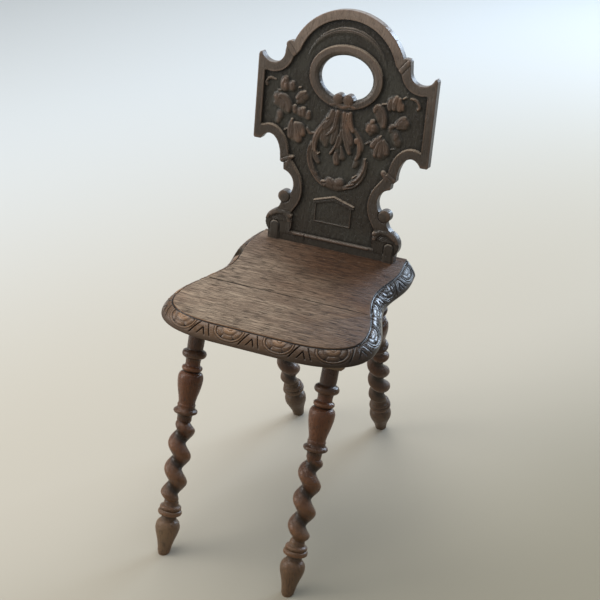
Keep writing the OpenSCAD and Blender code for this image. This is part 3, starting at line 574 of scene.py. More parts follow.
def carved_back():
    """Back board: a square grid over its outline. Grid points within half a step of the
    outline move onto it, and so do those near the straps' inner edge. Cells with a point
    truly inside are kept, and each point takes its depth from board_relief. Side walls and
    flat triangles close it at the rear, and two plain tenons reach through the seat."""
    half_step = PITCH / 2
    x, h = np.meshgrid(np.arange(*GRID_X, PITCH), np.arange(*GRID_H, PITCH))
    # away from the hole its distance counts as 40 mm, more than any that matters
    near = (np.abs(x) < 60) & (np.abs(h - HOLE_H) < 50)
    to_hole = np.full(x.shape, 40.0)
    to_hole[near] = distance_to(hand_hole_outline(), x[near], h[near])
    outside = np.maximum(distance_to(BOARD_OUTLINE, x, h), -to_hole)
    out_x, out_h = unit_slope(outside)
    on_edge = np.abs(outside) <= half_step
    x = np.where(on_edge, x - outside * out_x, x)
    h = np.where(on_edge, h - outside * out_h, h)
    ground = distance_to(GROUND_OUTLINE, x, h)
    slope_x, slope_h = unit_slope(ground)
    snap = (np.abs(ground) < half_step) & ~on_edge
    x = np.where(snap, x - ground * slope_x, x)
    h = np.where(snap, h - ground * slope_h, h)

    inside = outside < -half_step
    used = inside | on_edge
    total = used.sum()
    rise = np.zeros(x.shape)
    rise[used], leaf, patina = board_relief(x[used], h[used], outside[used], ground[used])
    # cavity of the face on two scales; the back's finish paints shade with it in the recesses and
    # round the raised clusters
    hollow = 0.55 * (blur(rise, 3) - rise) + 0.75 * (blur(rise, 8) - rise)
    # painted highlight: a pale mark on slopes that face up, stronger over the crescent and gable
    # and weak on the rail, for glints of light on upper edges
    ledge_glint = np.clip(-np.gradient(rise, PITCH)[0] - 0.55, 0, 1.2) * (outside < -2)
    ledge_glint = ledge_glint * np.where(h < 24, 0.3, np.where(h > 345, 1.8, 1))

    number = cell_corners(np.cumsum(used.ravel()).reshape(used.shape) - 1)
    present = cell_corners(used)
    kept = np.any(cell_corners(inside), axis=0)
    count = np.sum(present, axis=0)
    quads = np.stack([v[(count == 4) & kept] for v in number], -1)
    triangles = []
    for gap in range(4):
        part = (count == 3) & kept & ~present[gap]
        triangles.append(np.stack([number[(gap + k) % 4][part] for k in (1, 2, 3)], -1))
    triangles = np.vstack(triangles)

    x, h, rise, on_edge = x[used], h[used], rise[used], on_edge[used]
    inset = np.where(on_edge, REAR_INSET, 0.0)
    points = np.vstack([board_point(x, h, GROUND - rise),
                        board_point(x, h, BOARD_THICK - REAR_BEVEL),
                        board_point(x - inset * out_x[used], h - inset * out_h[used],
                                    BOARD_THICK)])

    # the outline's edges are those that only one kept face has
    pairs = np.vstack([rows[:, [k, (k + 1) % rows.shape[1]]]
                       for rows in (quads, triangles) for k in range(rows.shape[1])])
    key = pairs.min(1).astype(np.int64) * total + pairs.max(1)
    _, first, times = np.unique(key, return_index=True, return_counts=True)
    rim = pairs[first[times == 1]]
    wall = np.column_stack([rim[:, ::-1], rim + total])
    closing = rear_faces(rings_of(rim + 2 * total), points)
    points[:, 2] = np.maximum(points[:, 2], SEAT_TOP)
    faces = [np.vstack([quads, wall, wall + total]), np.vstack([triangles, closing])]
    keep = np.zeros(3 * total, bool)
    for rows in faces:
        keep[rows] = True
    faces = [(np.cumsum(keep) - 1)[rows] for rows in faces]
    points = points[keep]
    masks = {}
    for key, values, at_wall, at_rear in (
            ("high", np.clip(rise / GROUND, 0, 1.5), 0.4, 0.4),
            ("hollow", np.clip(hollow[used], -3, 3), 0, 0), ("leaf", leaf, 0, 0),
            ("patina", patina, 0, 0), ("ledge_glint", ledge_glint[used], 0, 0), ("wall", on_edge, 1, 0)):
        rest = np.repeat([at_wall, at_rear], total)
        masks[key] = np.append(np.concatenate([values, rest])[keep], np.zeros(16))

    sides = np.array([[0, 1, 2, 3], [7, 6, 5, 4], [0, 4, 5, 1], [1, 5, 6, 2], [2, 6, 7, 3],
                      [3, 7, 4, 0]])
    low, high = TENON_ENDS
    for middle in (-TENON_X, TENON_X):
        faces.append(sides + len(points))
        left, right = middle - TENON_HALF, middle + TENON_HALF
        box = [[bx, bh, depth] for depth in TENON_DEPTHS
               for bx, bh in ((left, low), (right, low), (right, high), (left, high))]
        points = np.vstack([points, board_point(*np.array(box).T)])
    return make_piece("carved_back_board", points, faces, ["back_board"], masks)


# ---------------------------------------------------------------- seat boards

RIM_OUT = 22.5
RIM_DROP = 24.5
JOINT_Y = -195.0
REAR_Y = 31.0
# flat field: half width of the straight front, at the corners, waist, rear and rear end
FRONT_FLAT, HALF_FRONT, HALF_WAIST, HALF_REAR, HALF_END = 60, 178, 139.5, 151.5, 146
FRONT_Y, CORNER_Y, WAIST_Y, REAR_WIDE_Y = -335.5, -270, -118, -30
# middles of the lunettes, as lengths along the rim from the middle of the front
LUNETTES = (-550, -470, -390, -309, -224, -133.4, -40.9, 51.6, 144, 233, 318, 399, 479, 560)
LUNETTE_STEP = 92.5


def field_path():
    """Edge of the seat's flat field from rear left round the front to rear right, with its
    length along it from the middle of the front, and the outward direction at each point.
    The front is straight, the corners are superellipses, and the sides swing in to the waist
    and out again by cosine curves."""
    t = np.radians(np.linspace(90, 0, 160))
    spans = [np.stack([np.linspace(0, FRONT_FLAT, 40, endpoint=False), np.full(40, FRONT_Y)], -1),
             np.stack([FRONT_FLAT + (HALF_FRONT - FRONT_FLAT) * np.cos(t) ** (2 / 2.56),
                       CORNER_Y - (CORNER_Y - FRONT_Y) * np.sin(t) ** (2 / 2.56)], -1)]
    for x0, x1, y0, y1, n in ((HALF_FRONT, HALF_WAIST, CORNER_Y, WAIST_Y, 130),
                              (HALF_WAIST, HALF_REAR, WAIST_Y, REAR_WIDE_Y, 80),
                              (HALF_REAR, HALF_END, REAR_WIDE_Y, REAR_Y, 55),
                              (HALF_END, HALF_END, REAR_Y, 60, 25)):
        u = np.linspace(0, 1, n + 1)[1:]
        swing = (1 - np.cos(np.pi * u)) / 2
        spans.append(np.stack([x0 + (x1 - x0) * swing, y0 + (y1 - y0) * u], -1))
    half = np.vstack(spans)
    path = np.vstack([half[:0:-1] * [-1, 1], half])
    length = np.append(0, np.cumsum(np.hypot(*np.diff(path, axis=0).T)))
    even = np.linspace(0, length[-1], 2400)
    path = np.stack([np.interp(even, length, part) for part in path.T], -1)
    for _ in range(3):
        path[1:-1] = (path[:-2] + 2 * path[1:-1] + path[2:]) / 4
    along = np.gradient(path, axis=0)
    along = along / np.hypot(*along.T)[:, None]
    return path, even - length[-1] / 2, np.stack([along[:, 1], -along[:, 0]], -1)


def rim_profile():
    """Section of the rim as distance out and distance down: a step and a quirk at the
    field's edge, a quarter of a superellipse, and a short turn under. The third column is
    the distance down the slope, in mm, which the carving uses."""
    t = np.radians(np.linspace(90, 0, 400))
    slope = np.stack([4 + (RIM_OUT - 4) * np.cos(t) ** (2 / 1.5),
                      RIM_DROP - (RIM_DROP - 2.4) * np.sin(t) ** (2 / 1.5)], -1)
    step = np.append(0, np.cumsum(np.hypot(*np.diff(slope, axis=0).T)))
    even = np.linspace(0, step[-1], 40)
    slope = np.stack([np.interp(even, step, part) for part in slope.T] + [even], -1)
    top = [[0, 0, -9], [0.45, 0.35, -8], [0.7, 1.2, -7], [1.0, 2.3, -6], [1.7, 3.3, -5],
           [2.6, 3.6, -5], [3.4, 3.1, -4]]
    under = np.radians([25, 50, 75, 90])
    turn = np.stack([RIM_OUT - 5.5 + 5.5 * np.cos(under), RIM_DROP + 2.5 * np.sin(under),
                     np.full(4, 99)], -1)
    return np.vstack([top, slope, turn])


def rim_carving(s, d):
    """Depth of the carving on the rim, at length s along it and distance d down its slope.
    Each lunette is half an oval of 55 by 24 mm that hangs from the quirk: two incised lines
    with a bead between, a ring of six scallops and a smooth dome. Between two lunettes
    stand a slanted line, a pointed pair of lines and a line that slants the other way."""
    k = np.interp(s, LUNETTES, np.arange(len(LUNETTES)))
    a = (k - np.floor(k + 0.5)) * LUNETTE_STEP
    after = np.where(a < 0, a + LUNETTE_STEP, a)
    r = ((np.abs(a) / 28.5) ** 2.3 + (np.maximum(d, 0) / 24.5) ** 2.3) ** (1 / 2.3)
    angle = np.arctan2(np.maximum(d, 0.01) / 24, a / 27.5)
    cut = groove_depth((r - 1) * 25, 1.25, 1.15) + groove_depth((r - 0.86) * 25, 1.0, 0.75)
    bead = np.sin(np.pi * ramp(r - 0.85, 0.15))
    lobe = np.abs(np.sin(3 * angle))
    scallop = ramp(r - 0.5, 0.33)
    petal = lobe ** 0.5 * np.sin(np.pi * scallop) ** 0.7
    ring = (r > 0.5) & (r <= 0.85)
    cut = cut + np.where(ring, 0.95 - 1.15 * petal + 0.9 * (1 - lobe) ** 4 * scallop, 0)
    cut = cut + np.where(r <= 0.5, 0.95 - ridge_height(r, 0.5, 1.9), 0)
    cut = cut - np.where((r > 0.85) & (r < 1), 0.35 * bead, 0)
    cut = cut + groove_depth(np.hypot(a - 1, d) - 4.6, 1.0, 0.9)
    apex = ramp(d - 7.5, 2) * ramp(23.5 - d, 2.5)
    lines = 0
    for line, half, deep, gate in ((36.6 - 0.583 * d, 1.75, 2.5, ramp(26 - d, 3)),
                                   (45 - 0.646 * (d - 8.5), 1.5, 2.2, apex),
                                   (45 + 0.385 * (d - 8.5), 1.5, 2.2, apex),
                                   (51.6 + 0.375 * d, 1.4, 1.9, ramp(24 - d, 3))):
        lines = np.maximum(lines, groove_depth(after - line, half, deep) * gate)
    cut = cut + lines * (r > 1.02)
    flank = ramp(after - 30, 4) * ramp(64 - after, 4) * (r > 1.05)
    cut = cut + 0.35 * flank * np.sin(np.pi * ramp(d, 27))
    inside = ramp(d + 0.2, 0.8) * ramp(29.0 - d, 2.0)
    return cut * inside + 0.06 * ripple(s, d * 1.5, 8, 21) * (d > -4.5)


def rim_strip(rear):
    """Rows of rim points from the joint to the rear on the right side, or from the joint
    round the front to the joint. Each row runs along its own offset of the field's edge and
    ends exactly on those planes. Gives places with outward directions, lengths along the
    rim, distances down the slope, and the section."""
    path, s, out = field_path()
    profile = rim_profile()
    count = int((REAR_Y - JOINT_Y) / 0.85) + 2 if rear else 1000
    round_off = ramp(path[:, 1] - 14, 17)
    shrink = np.where(path[:, 1] > 14, (6.5 + 16 * np.sqrt(1 - round_off ** 2)) / RIM_OUT, 1.0)
    half = len(path) // 2
    rows, lengths = [], []
    for outward in profile[:, 0]:
        line = path + outward * out * shrink[:, None]
        start, end = np.interp([JOINT_Y, REAR_Y if rear else JOINT_Y], line[half:, 1], s[half:])
        if not rear:
            start = np.interp(-JOINT_Y, -line[:half, 1], s[:half])
        at = np.linspace(start, end, count)
        rows.append(np.stack([np.interp(at, s, part) for part in (*line.T, *out.T)], -1))
        lengths.append(at)
    return np.array(rows), np.array(lengths), np.repeat(profile[:, 2:], count, axis=1), profile


def carve_strip(rows, s, d, profile, mirror=False):
    """Moves the strip's points inwards by the carving, square to the slope, and breaks out
    the chip at the left rear. Gives points, the carving's depth, the chip's mask and the
    share of the way down the slope."""
    sign = -1 if mirror else 1
    carved = np.where((d > -4.5) & (d < 50), rim_carving(s * sign, d), 0.0)
    worn = 1 - 0.3 * step_up(np.abs(s * sign + 15) - 150, 90)
    worn = worn - 0.5 * np.exp(-((s * sign - 190) / 22) ** 2)
    slope = np.gradient(profile[:, :2], axis=0)
    slope = slope / np.hypot(*slope.T)[:, None]
    out = -slope[:, 1:] * carved * worn
    x = rows[..., 0] + rows[..., 2] * out
    y = rows[..., 1] + rows[..., 3] * out
    z = SEAT_TOP - profile[:, 1:2] - slope[:, :1] * carved * worn
    y[:, 0], y[:, -1] = rows[:, 0, 1], rows[:, -1, 1]
    chip = np.zeros(s.shape)
    if mirror:
        x = -x
        on_rim = profile[:, :1] > 0.4
        near = np.exp(-((y + 66) / 17.0) ** 4) * ramp(x + 166, 6)
        floor = SEAT_TOP - 4.5 - 0.9 * np.clip(-x - 143, 0, 30) + 0.5 * ripple(x, y, 6, 31)
        chip = near * (z > floor + 0.3) * on_rim
        z = np.where(on_rim, z + (np.minimum(z, floor) - z) * np.clip(near * 1.4, 0, 1), z)
    # the top arris rows get -0.6, which the seat's finish paints as a light line, a painted
    # highlight along the arris; the quirk rows get 1.6, dark like the cuts
    carved = np.where(d < -3.5, np.where(d < -6.5, -0.6, 1.6), carved)
    return np.stack([x, y, z], -1), carved, chip, np.clip(d / 29, 0, 1)


def seat_board(name, node, strips, rear):
    """Closed seat board: its rim strips, a flat top and underside, the joint face with a
    worn upper arris, and for the rear board the sawn rear face."""
    total, faces, grids = 0, [], []
    for grid, *_ in strips:
        rows, count = grid.shape[:2]
        faces.append(grid_faces(rows, count, total, closed=False)[:, ::-1])
        grids.append(total + np.arange(rows * count).reshape(rows, count))
        total += rows * count
    right, left = grids[0], grids[-1]
    left_end, right_end = left[:, 0], right[:, 0] if rear else right[:, -1]
    points = np.vstack([strip[0].reshape(-1, 3) for strip in strips])
    cut, chip, fall = (np.concatenate([strip[k].ravel() for strip in strips]) for k in (1, 2, 3))

    # three rows of points along the joint, from left to right
    n = 160
    inward = 1 if rear else -1
    x0, x1 = points[left_end[0], 0], points[right_end[0], 0]
    xs = np.linspace(x0, x1, n + 2)[1:-1]
    wear = 0.85 + 0.3 * ripple(xs, xs * 0, 14, 41 + inward) - 0.0012 * xs
    wear = np.clip(wear * np.minimum(1, np.minimum(xs - x0, x1 - xs) / 6), 0.12, 1.6)
    for back, down in ((1.5, 0), (0.9, 0.8), (0, 3.4)):
        row = [xs, JOINT_Y + inward * back * wear, SEAT_TOP - down * wear]
        points = np.vstack([points, np.stack(row, -1)])
    cut = np.append(cut, np.repeat([0.5, 1.5, 2.6], n))
    chip, fall = (np.append(values, np.zeros(3 * n)) for values in (chip, fall))
    up, mid, low = total + np.arange(3 * n).reshape(3, n)

    if rear:
        faces += [np.concatenate([up, right[0], left[0][::-1]]),
                  np.concatenate([left[-1], right[-1][::-1]])]
    else:
        faces += [np.concatenate([right[0], up[::-1]]), right[-1][::-1]]
    faces.append(np.concatenate([left_end[:1], low, right_end, left_end[:0:-1]])[::-1])
    faces.append(grid_faces(3, n, total, closed=False)[:, ::-1])
    faces.append(np.array([[left_end[0], up[0], mid[0]], [left_end[0], mid[0], low[0]],
                           [up[-1], right_end[0], mid[-1]],
                           [mid[-1], right_end[0], low[-1]]])[:, ::-1])
    if rear:
        faces.append(np.concatenate([left[::-1, -1], right[:, -1]]))

    x, y, z = points.T
    joint = (np.abs(y - JOINT_Y) < 4) & (z > SEAT_TOP - 8) & (np.abs(x) < 150)
    masks = {"cut": cut, "rim": (z < SEAT_TOP - 0.3) & ~joint,
             "dirt": joint & (z < SEAT_TOP - 0.05), "chip": chip, "fall": fall}
    piece = make_piece(name, points + [0, FOOT_LINE, 0], faces, [node], masks)
    # all faces look outwards
    shape = bmesh.new()
    shape.from_mesh(piece.data)
    bmesh.ops.recalc_face_normals(shape, faces=shape.faces)
    shape.to_mesh(piece.data)
    shape.free()
    return piece


# ---------------------------------------------------------------- turned legs

# name, foot on the floor, top at the seat's underside, turn of the rope in degrees
LEGS = (("leg_front_left", (-130.5, -438.5), (-129, -280.5), 230),
        ("leg_front_right", (121, -443), (129, -280.5), 345),
        ("leg_rear_left", (-87.5, 80), (-111.5, -43), 50),
        ("leg_rear_right", (90, 108), (111.5, -43), 60))
ROPE_LOW, ROPE_TOP, ROPE_PITCH = 100.0, 255.0, 49.0
ROPE_VALLEY, ROPE_NECK = 9.5, 13.2
FOOT_R, SHOULDER_R, TENON_R = 10.0, 15.0, 11.0
BATTEN_UNDER, TENON_TOP = 399.0, 432.0


def bead(z, tall, r, neck):
    """Half an oval that stands out from a neck, as points (radius, height)."""
    t = np.radians(np.linspace(-84, 84, 13))
    return np.stack([neck + (r - neck) * np.cos(t), z + tall / 2 * np.sin(t)], -1)


def leg_section():
    """Turned section of a leg without its rope, as radius against distance along the leg."""
    foot = [[9.2, -9], [9.9, 0.2], [11.2, 1.6], [11.7, 4], [12.3, 9], [13.7, 17], [15.8, 25],
            [18.3, 33], [20.6, 40], [22.0, 45.5], [22.4, 50], [22.0, 55], [20.7, 59],
            [18.5, 62.4], [15.8, 64.8], [14.2, 66.6], [13.6, 70], [13.6, 73.6]]
    ring = [[13.2, 252], [13.4, 262.5], [14, 265], [16.6, 267.4], [20.4, 269], [21.8, 271],
            [21.9, 273.4], [20.6, 275.4], [18, 277], [16.4, 279.4], [15.9, 282.4],
            [16.6, 284], [16.4, 285.6], [15.2, 287]]
    j = np.linspace(0, 1, 16)
    vase = np.stack([15.2 + 7.8 * np.sin(np.pi / 2 * j) ** 1.5, 288 + 46 * j], -1)
    shoulder = arc(14.6, 334, 8.4, 8, 80, 10, 12.5)
    return np.vstack([
        foot, bead(79.4, 11, 22, 17.4)[2:-1], bead(88.2, 7.6, 19.8, 17)[1:],
        [[15.4, 92.4], [14.2, 94], [13.6, 97], [13.2, 101]],
        ring, vase, shoulder, [[14.6, 347.4]], bead(352.6, 9, 18.8, 14.6),
        [[13.6, 358.6], [13.3, 363], [13.8, 369]], bead(379.4, 15, 22.2, 14.6),
        [[14.5, 388.6], [15, 395], [15, 520]]])


def rope_radius(angle, z):
    """Radius of the rope: one rounded strand that turns to the left as it climbs, swelling
    out of the neck at both ends. Across the strand the radius follows half of 1 + cosine of
    the angle from its crest, to the power 0.8. The second value is the share of the
    swelling, 1 on the crest and 0 in the valley."""
    swing = ramp(np.minimum(z - ROPE_LOW, ROPE_TOP - z), 15) ** 0.6
    share = (0.5 + 0.5 * np.cos(np.radians(angle + 360 * z / ROPE_PITCH))) ** 0.8
    return ROPE_VALLEY + 13 * swing * share, share


def turned_leg(number, name, foot, top, phase):
    """One leg: rings of points round its axis, each at the larger of the turned section and
    the rope, with the foot cut level at the floor, the shoulder level at the batten, and a
    round tenon above it."""
    run = np.subtract(top, foot)
    rake = np.arccos(SEAT_UNDER / np.sqrt(run @ run + SEAT_UNDER ** 2))
    turn = np.arctan2(run[1], run[0])
    tilt = np.array([[np.cos(rake), 0, np.sin(rake)], [0, 1, 0], [-np.sin(rake), 0, np.cos(rake)]])
    spin = np.array([[np.cos(turn), -np.sin(turn), 0], [np.sin(turn), np.cos(turn), 0], [0, 0, 1]])
    place = spin @ tilt

    columns = 80
    z = np.unique(np.concatenate([np.arange(-9, 92, 0.9), np.arange(92, 262, 0.85),
                                  np.arange(262, 452, 0.9)]))
    angle, z = np.meshgrid(np.arange(columns) * 360 / columns, z)
    cos, sin = np.cos(np.radians(angle)), np.sin(np.radians(angle))
    section = leg_section()
    radius = np.interp(z, section[:, 1], section[:, 0])
    rope, share = rope_radius(angle - phase, z)
    in_rope = (z > ROPE_LOW) & (z < ROPE_TOP)
    neck = np.interp(z, [ROPE_LOW - 1, ROPE_LOW + 9, ROPE_TOP - 9, ROPE_TOP + 1],
                     [ROPE_NECK, ROPE_VALLEY, ROPE_VALLEY, ROPE_NECK])
    radius = np.where(in_rope, np.maximum(rope, neck), radius)
    radius = radius + 0.12 * ripple(angle * 0.4, z, 13, 60 + number) * (z > 3) * (z < 395)
    # cavity of the surface; with the valley term below, the leg finish paints shade and grime in
    # the rope's valleys and a sheen on its crests
    hollow = blur(np.pad(radius, ((0, 0), (12, 12)), mode="wrap"), 5)[:, 12:-12] - radius
    valley = np.maximum(hollow, 4.2 * (1 - share) ** 2) - 1.6 * share ** 2
    hollow = np.where(in_rope & (rope > neck), valley, hollow)

    def along_for(level, r):
        """Place along the axis at which the line at radius r meets a level."""
        flat = np.stack([r * cos, r * sin, np.zeros(cos.shape)], -1) @ place.T
        return (level - flat[..., 2]) / place[2, 2]

    # rings below the floor or above the batten's underside slide to the level cuts
    floor, shoulder = along_for(0.0, FOOT_R), along_for(BATTEN_UNDER, SHOULDER_R)
    z = np.clip(z, floor, shoulder)
    radius = np.where(z <= floor, np.minimum(radius, FOOT_R), radius)
    radius = np.where(z >= shoulder, SHOULDER_R, radius)
    # rings that are wholly cut away are dropped
    keep = np.diff(z, axis=0, prepend=z[:1] - 1).max(1) > 1e-6
    keep[:-1] |= (np.diff(z, axis=0) > 1e-6).any(1)
    tenon = [along_for(level, TENON_R)[0] for level in (BATTEN_UNDER, TENON_TOP)]
    local = np.concatenate([np.stack([radius * cos, radius * sin, z], -1)[keep],
                            np.stack([TENON_R * cos[:2], TENON_R * sin[:2], tenon], -1)])
    hollow = np.append(hollow[keep], np.zeros((2, columns)))
    points = local.reshape(-1, 3) @ place.T + [foot[0], foot[1] + FOOT_LINE, 0]
    points[:, 2] = np.maximum(points[:, 2], 0)
    ring = np.arange(columns)
    faces = [grid_faces(len(local), columns), ring[::-1], (len(local) - 1) * columns + ring]
    return make_piece("turned_" + name, points, faces, [name],
                      {"hollow": np.clip(hollow, -6, 6)}, sharp=50)


# ---------------------------------------------------------------- finishes

def tone(r, g, b):
    """Linear colour from the 0 to 255 values of a picture."""
    c = np.array([r, g, b]) / 255
    return (*np.where(c < 0.04045, c / 12.92, ((c + 0.055) / 1.055) ** 2.4), 1.0)


def feed(socket, value):
    """Links a socket to a Value, or sets it. A tuple is a colour in 0 to 255."""
    if isinstance(value, Value):
        value.tree.links.new(value.socket, socket)
    else:
        socket.default_value = tone(*value) if isinstance(value, tuple) else value


def add_node(tree, kind, inputs, **settings):
    """Adds a node with these settings and inputs, and gives its outputs."""
    node = tree.nodes.new(kind)
    for key, value in settings.items():
        setattr(node, key, value)
    for key, value in inputs.items():
        feed(node.inputs[key], value)
    return node.outputs


class Value:
    """Output of a shader node. Each sum, product or smooth step of it adds a node."""

    def __init__(self, socket):
        self.socket, self.tree = socket, socket.id_data

    def math(self, operation, a, b, clamp=False):
        return Value(add_node(self.tree, "ShaderNodeMath", {0: a, 1: b},
                              operation=operation, use_clamp=clamp)[0])

    def __mul__(self, other):
        return self.math("MULTIPLY", self, other)

    def __add__(self, other):
        return self.math("ADD", self, other)

    def __sub__(self, other):
        return self.math("SUBTRACT", self, other)

    def __rsub__(self, other):
        return self.math("SUBTRACT", other, self)

    def spread(self, low, high, out_low=0.0, out_high=1.0):
        """Smooth step of the value from low..high to out_low..out_high."""
        return Value(add_node(self.tree, "ShaderNodeMapRange",
                              {0: self, 1: low, 2: high, 3: out_low, 4: out_high},
                              interpolation_type="SMOOTHSTEP")[0])


def by_name(outputs):
    """A node's outputs as Values by their names."""
    return {socket.name: Value(socket) for socket in outputs}


def mix(factor, a, b):
    """Colour between a and b."""
    return Value(add_node(factor.tree, "ShaderNodeMix", {0: factor, 6: a, 7: b},
                          data_type="RGBA")[2])


def layered(color, *layers):
    """Colour with others laid over it in turn, each given with its share."""
    for share, over in layers:
        color = mix(share, color, over)
    return color


def open_group(name, sizes, outputs):
    """New node group with a vector and the named sizes as inputs: the group, its inputs as
    Values and its output sockets."""
    group = bpy.data.node_groups.new(name, "ShaderNodeTree")
    group.interface.new_socket("Vector", in_out="INPUT", socket_type="NodeSocketVector")
    for key, value in sizes.items():
        size = group.interface.new_socket(key, in_out="INPUT", socket_type="NodeSocketFloat")
        size.default_value = value
    for key in outputs:
        group.interface.new_socket(key, in_out="OUTPUT", socket_type="NodeSocketFloat")
    given = add_node(group, "NodeGroupInput", {})
    result = group.nodes.new("NodeGroupOutput").inputs
    return group, {key: Value(given[key]) for key in ("Vector", *sizes)}, result


def noise(vector, size, detail, rough):
    """Fractal noise of a given scale at a vector."""
    inputs = {"Vector": vector, "Scale": size, "Detail": detail, "Roughness": rough}
    return Value(add_node(vector.tree, "ShaderNodeTexNoise", inputs)["Fac"])


def grain_group():
    """Oak grain, from coordinates in metres that are already pressed along the grain: a slow
    change of tone, streaks, short dark pores, and a height for the last two."""
    group, given, result = open_group(
        "Oak grain", {"Figure size": 30.0, "Streak size": 220.0, "Pore size": 800.0},
        ("Tone", "Streaks", "Pores", "Height"))
    made = {}
    for name, size, detail, low, high in (("Tone", "Figure size", 3.0, 0.34, 0.66),
                                          ("Streaks", "Streak size", 4.0, 0.36, 0.66),
                                          ("Pores", "Pore size", 1.5, 0.54, 0.66)):
        made[name] = noise(given["Vector"], given[size], detail, 0.6).spread(low, high)
        feed(result[name], made[name])
    feed(result["Height"], made["Streaks"] * 0.4 - made["Pores"])
    return group


def wear_group():
    """Wear of old shellac: rubbed places, dull dusty places and fine specks, from the
    object's own coordinates in metres."""
    group, given, result = open_group("Old shellac wear", {"Patch size": 14.0},
                                      ("Rubbed", "Dusty", "Specks"))
    for name, size, low, high, turn in (("Rubbed", 1.0, 0.48, 0.68, 0.0),
                                        ("Dusty", 0.55, 0.42, 0.66, 3.1),
                                        ("Specks", 22.0, 0.62, 0.74, 7.7)):
        place = add_node(group, "ShaderNodeVectorMath",
                         {0: given["Vector"], 1: [turn, turn * 0.7, -turn]}, operation="ADD")
        patches = noise(Value(place[0]), given["Patch size"] * size, 4.0, 0.55)
        feed(result[name], patches.spread(low, high))
    return group


GRAIN = grain_group()
WEAR = wear_group()


class Finish:
    """New material with a Principled shader and the object's own coordinates."""

    def __init__(self, name):
        self.material = bpy.data.materials.new(name)
        self.material.use_nodes = True
        self.tree = self.material.node_tree
        self.shader = self.tree.nodes["Principled BSDF"].inputs
        self.place = Value(add_node(self.tree, "ShaderNodeTexCoord", {})["Object"])
        self.at = by_name(add_node(self.tree, "ShaderNodeSeparateXYZ", {0: self.place}))

    def set(self, **values):
        """Feeds the shader's sockets, with _ for each space in their names."""
        for key, value in values.items():
            feed(self.shader[key.replace("_", " ")], value)
        return self.material


class Oak(Finish):
    """Start of an oak finish: coordinates pressed along the grain, and the grain and wear
    groups at the given sizes."""

    def __init__(self, name, press, figure, streak, pore, patch, relief):
        super().__init__(name)
        self.relief = relief
        self.pressed = Value(add_node(self.tree, "ShaderNodeMapping",
                                      {"Vector": self.place, "Scale": press})[0])
        self.grain = self.group(GRAIN, self.pressed, {"Figure size": figure,
                                                      "Streak size": streak, "Pore size": pore})
        self.wear = self.group(WEAR, self.place, {"Patch size": patch})

    def group(self, group, vector, sizes):
        """The outputs of a group at a vector."""
        return by_name(add_node(self.tree, "ShaderNodeGroup", {"Vector": vector, **sizes},
                                node_tree=group))

    def marks(self, *names):
        """Values of the piece's own surface attributes."""
        return [Value(add_node(self.tree, "ShaderNodeAttribute", {}, attribute_name=name)["Fac"])
                for name in names]

    def done(self, color, rough, height):
        """The material with its colour, roughness and bump height."""
        bump = add_node(self.tree, "ShaderNodeBump",
                        {"Strength": 1.0, "Distance": self.relief, "Height": height})
        return self.set(Base_Color=color, Roughness=rough, Normal=Value(bump[0]), IOR=1.46)


def seat_finish():
    """Worn oak field and dark carved rim: long grain from side to side with coarse pores,
    worn to the wood and grey towards the front left, where painted light also lightens it,
    brown under old shellac at the rear and right, where painted shade also darkens it, black
    dirt in the open joint and in the rim's cuts, and a grey broken place at the left rear.
    The rim gets painted shade towards its lower edge and a painted highlight along its top arris."""
    oak = Oak("Worn seat oak", [0.045, 1.0, 1.0], 34, 430, 900, 8, 0.0009)
    grain, wear, at = oak.grain, oak.wear, oak.at
    rim, cut, fall, chip, dirt = oak.marks("rim", "cut", "fall", "chip", "dirt")
    # lighter towards the front left, where the finish is worn to the wood and painted light falls;
    # darker towards the rear and right, under shellac and painted shade
    bare_and_lit = at["Y"] * -0.75 + at["X"] * -0.8 + wear["Dusty"] * 0.09 + grain["Tone"] * 0.06
    bare_and_lit = bare_and_lit.spread(-0.12, 0.30)
    flecks = oak.group(WEAR, oak.pressed, {"Patch size": 24})["Specks"]
    field = layered(
        mix(bare_and_lit, (97, 68, 47), (160, 142, 122)),
        (wear["Rubbed"] * 0.35, (116, 84, 62)),
        (at["Y"].spread(-0.27, -0.13, 0.45, 0.0), (110, 84, 63)),
        (grain["Streaks"] * 0.72, mix(bare_and_lit, (54, 35, 24), (84, 63, 47))),
        (grain["Pores"] * 0.85, (38, 27, 19)),
        (flecks * 0.5, (180, 158, 134)),
        (wear["Specks"] * 0.3, (176, 156, 134)))
    carved = layered(
        mix(bare_and_lit, (32, 27, 23), (104, 80, 59)),
        (grain["Tone"] * 0.3, mix(bare_and_lit, (60, 44, 33), (88, 60, 41))),
        (at["X"].spread(-0.195, -0.14, 0.5, 0.0), (66, 50, 38)),
        (cut.spread(0.4, 1.7, 0.0, 0.95), (20, 15, 11)),
        # light on the rim's raised places where worn: rubbed wear, and a painted highlight along
        # the top arris
        (cut.spread(-0.6, 0.1, 0.8, 0.0) * bare_and_lit, (150, 117, 88)),
        # painted shade: darker towards the rim's lower edge
        (fall.spread(0.55, 1.0, 0.0, 0.6), (54, 42, 32)))
    color = layered(field, (rim.spread(0.3, 0.7), carved), (dirt, (20, 16, 13)),
                    (chip, (118, 112, 102)))
    duller = bare_and_lit.math("MAXIMUM", at["Y"].spread(0.03, 0.13, 0.0, 0.2),
                       at["Y"].spread(-0.235, -0.195, 0.2, 0.0))
    rough = bare_and_lit * 0.1 + 0.56 + grain["Pores"] * 0.15 - rim * (0.41 - duller)
    rough = rough + fall.spread(0.6, 0.95, 0.0, 0.4) * bare_and_lit
    rough = rough.math("ADD", rough, chip * 0.4, clamp=True)
    oak.set(Specular_IOR_Level=0.42)
    return oak.done(color, rough, grain["Height"] * rim.spread(0.1, 0.6, 1.0, 0.12))


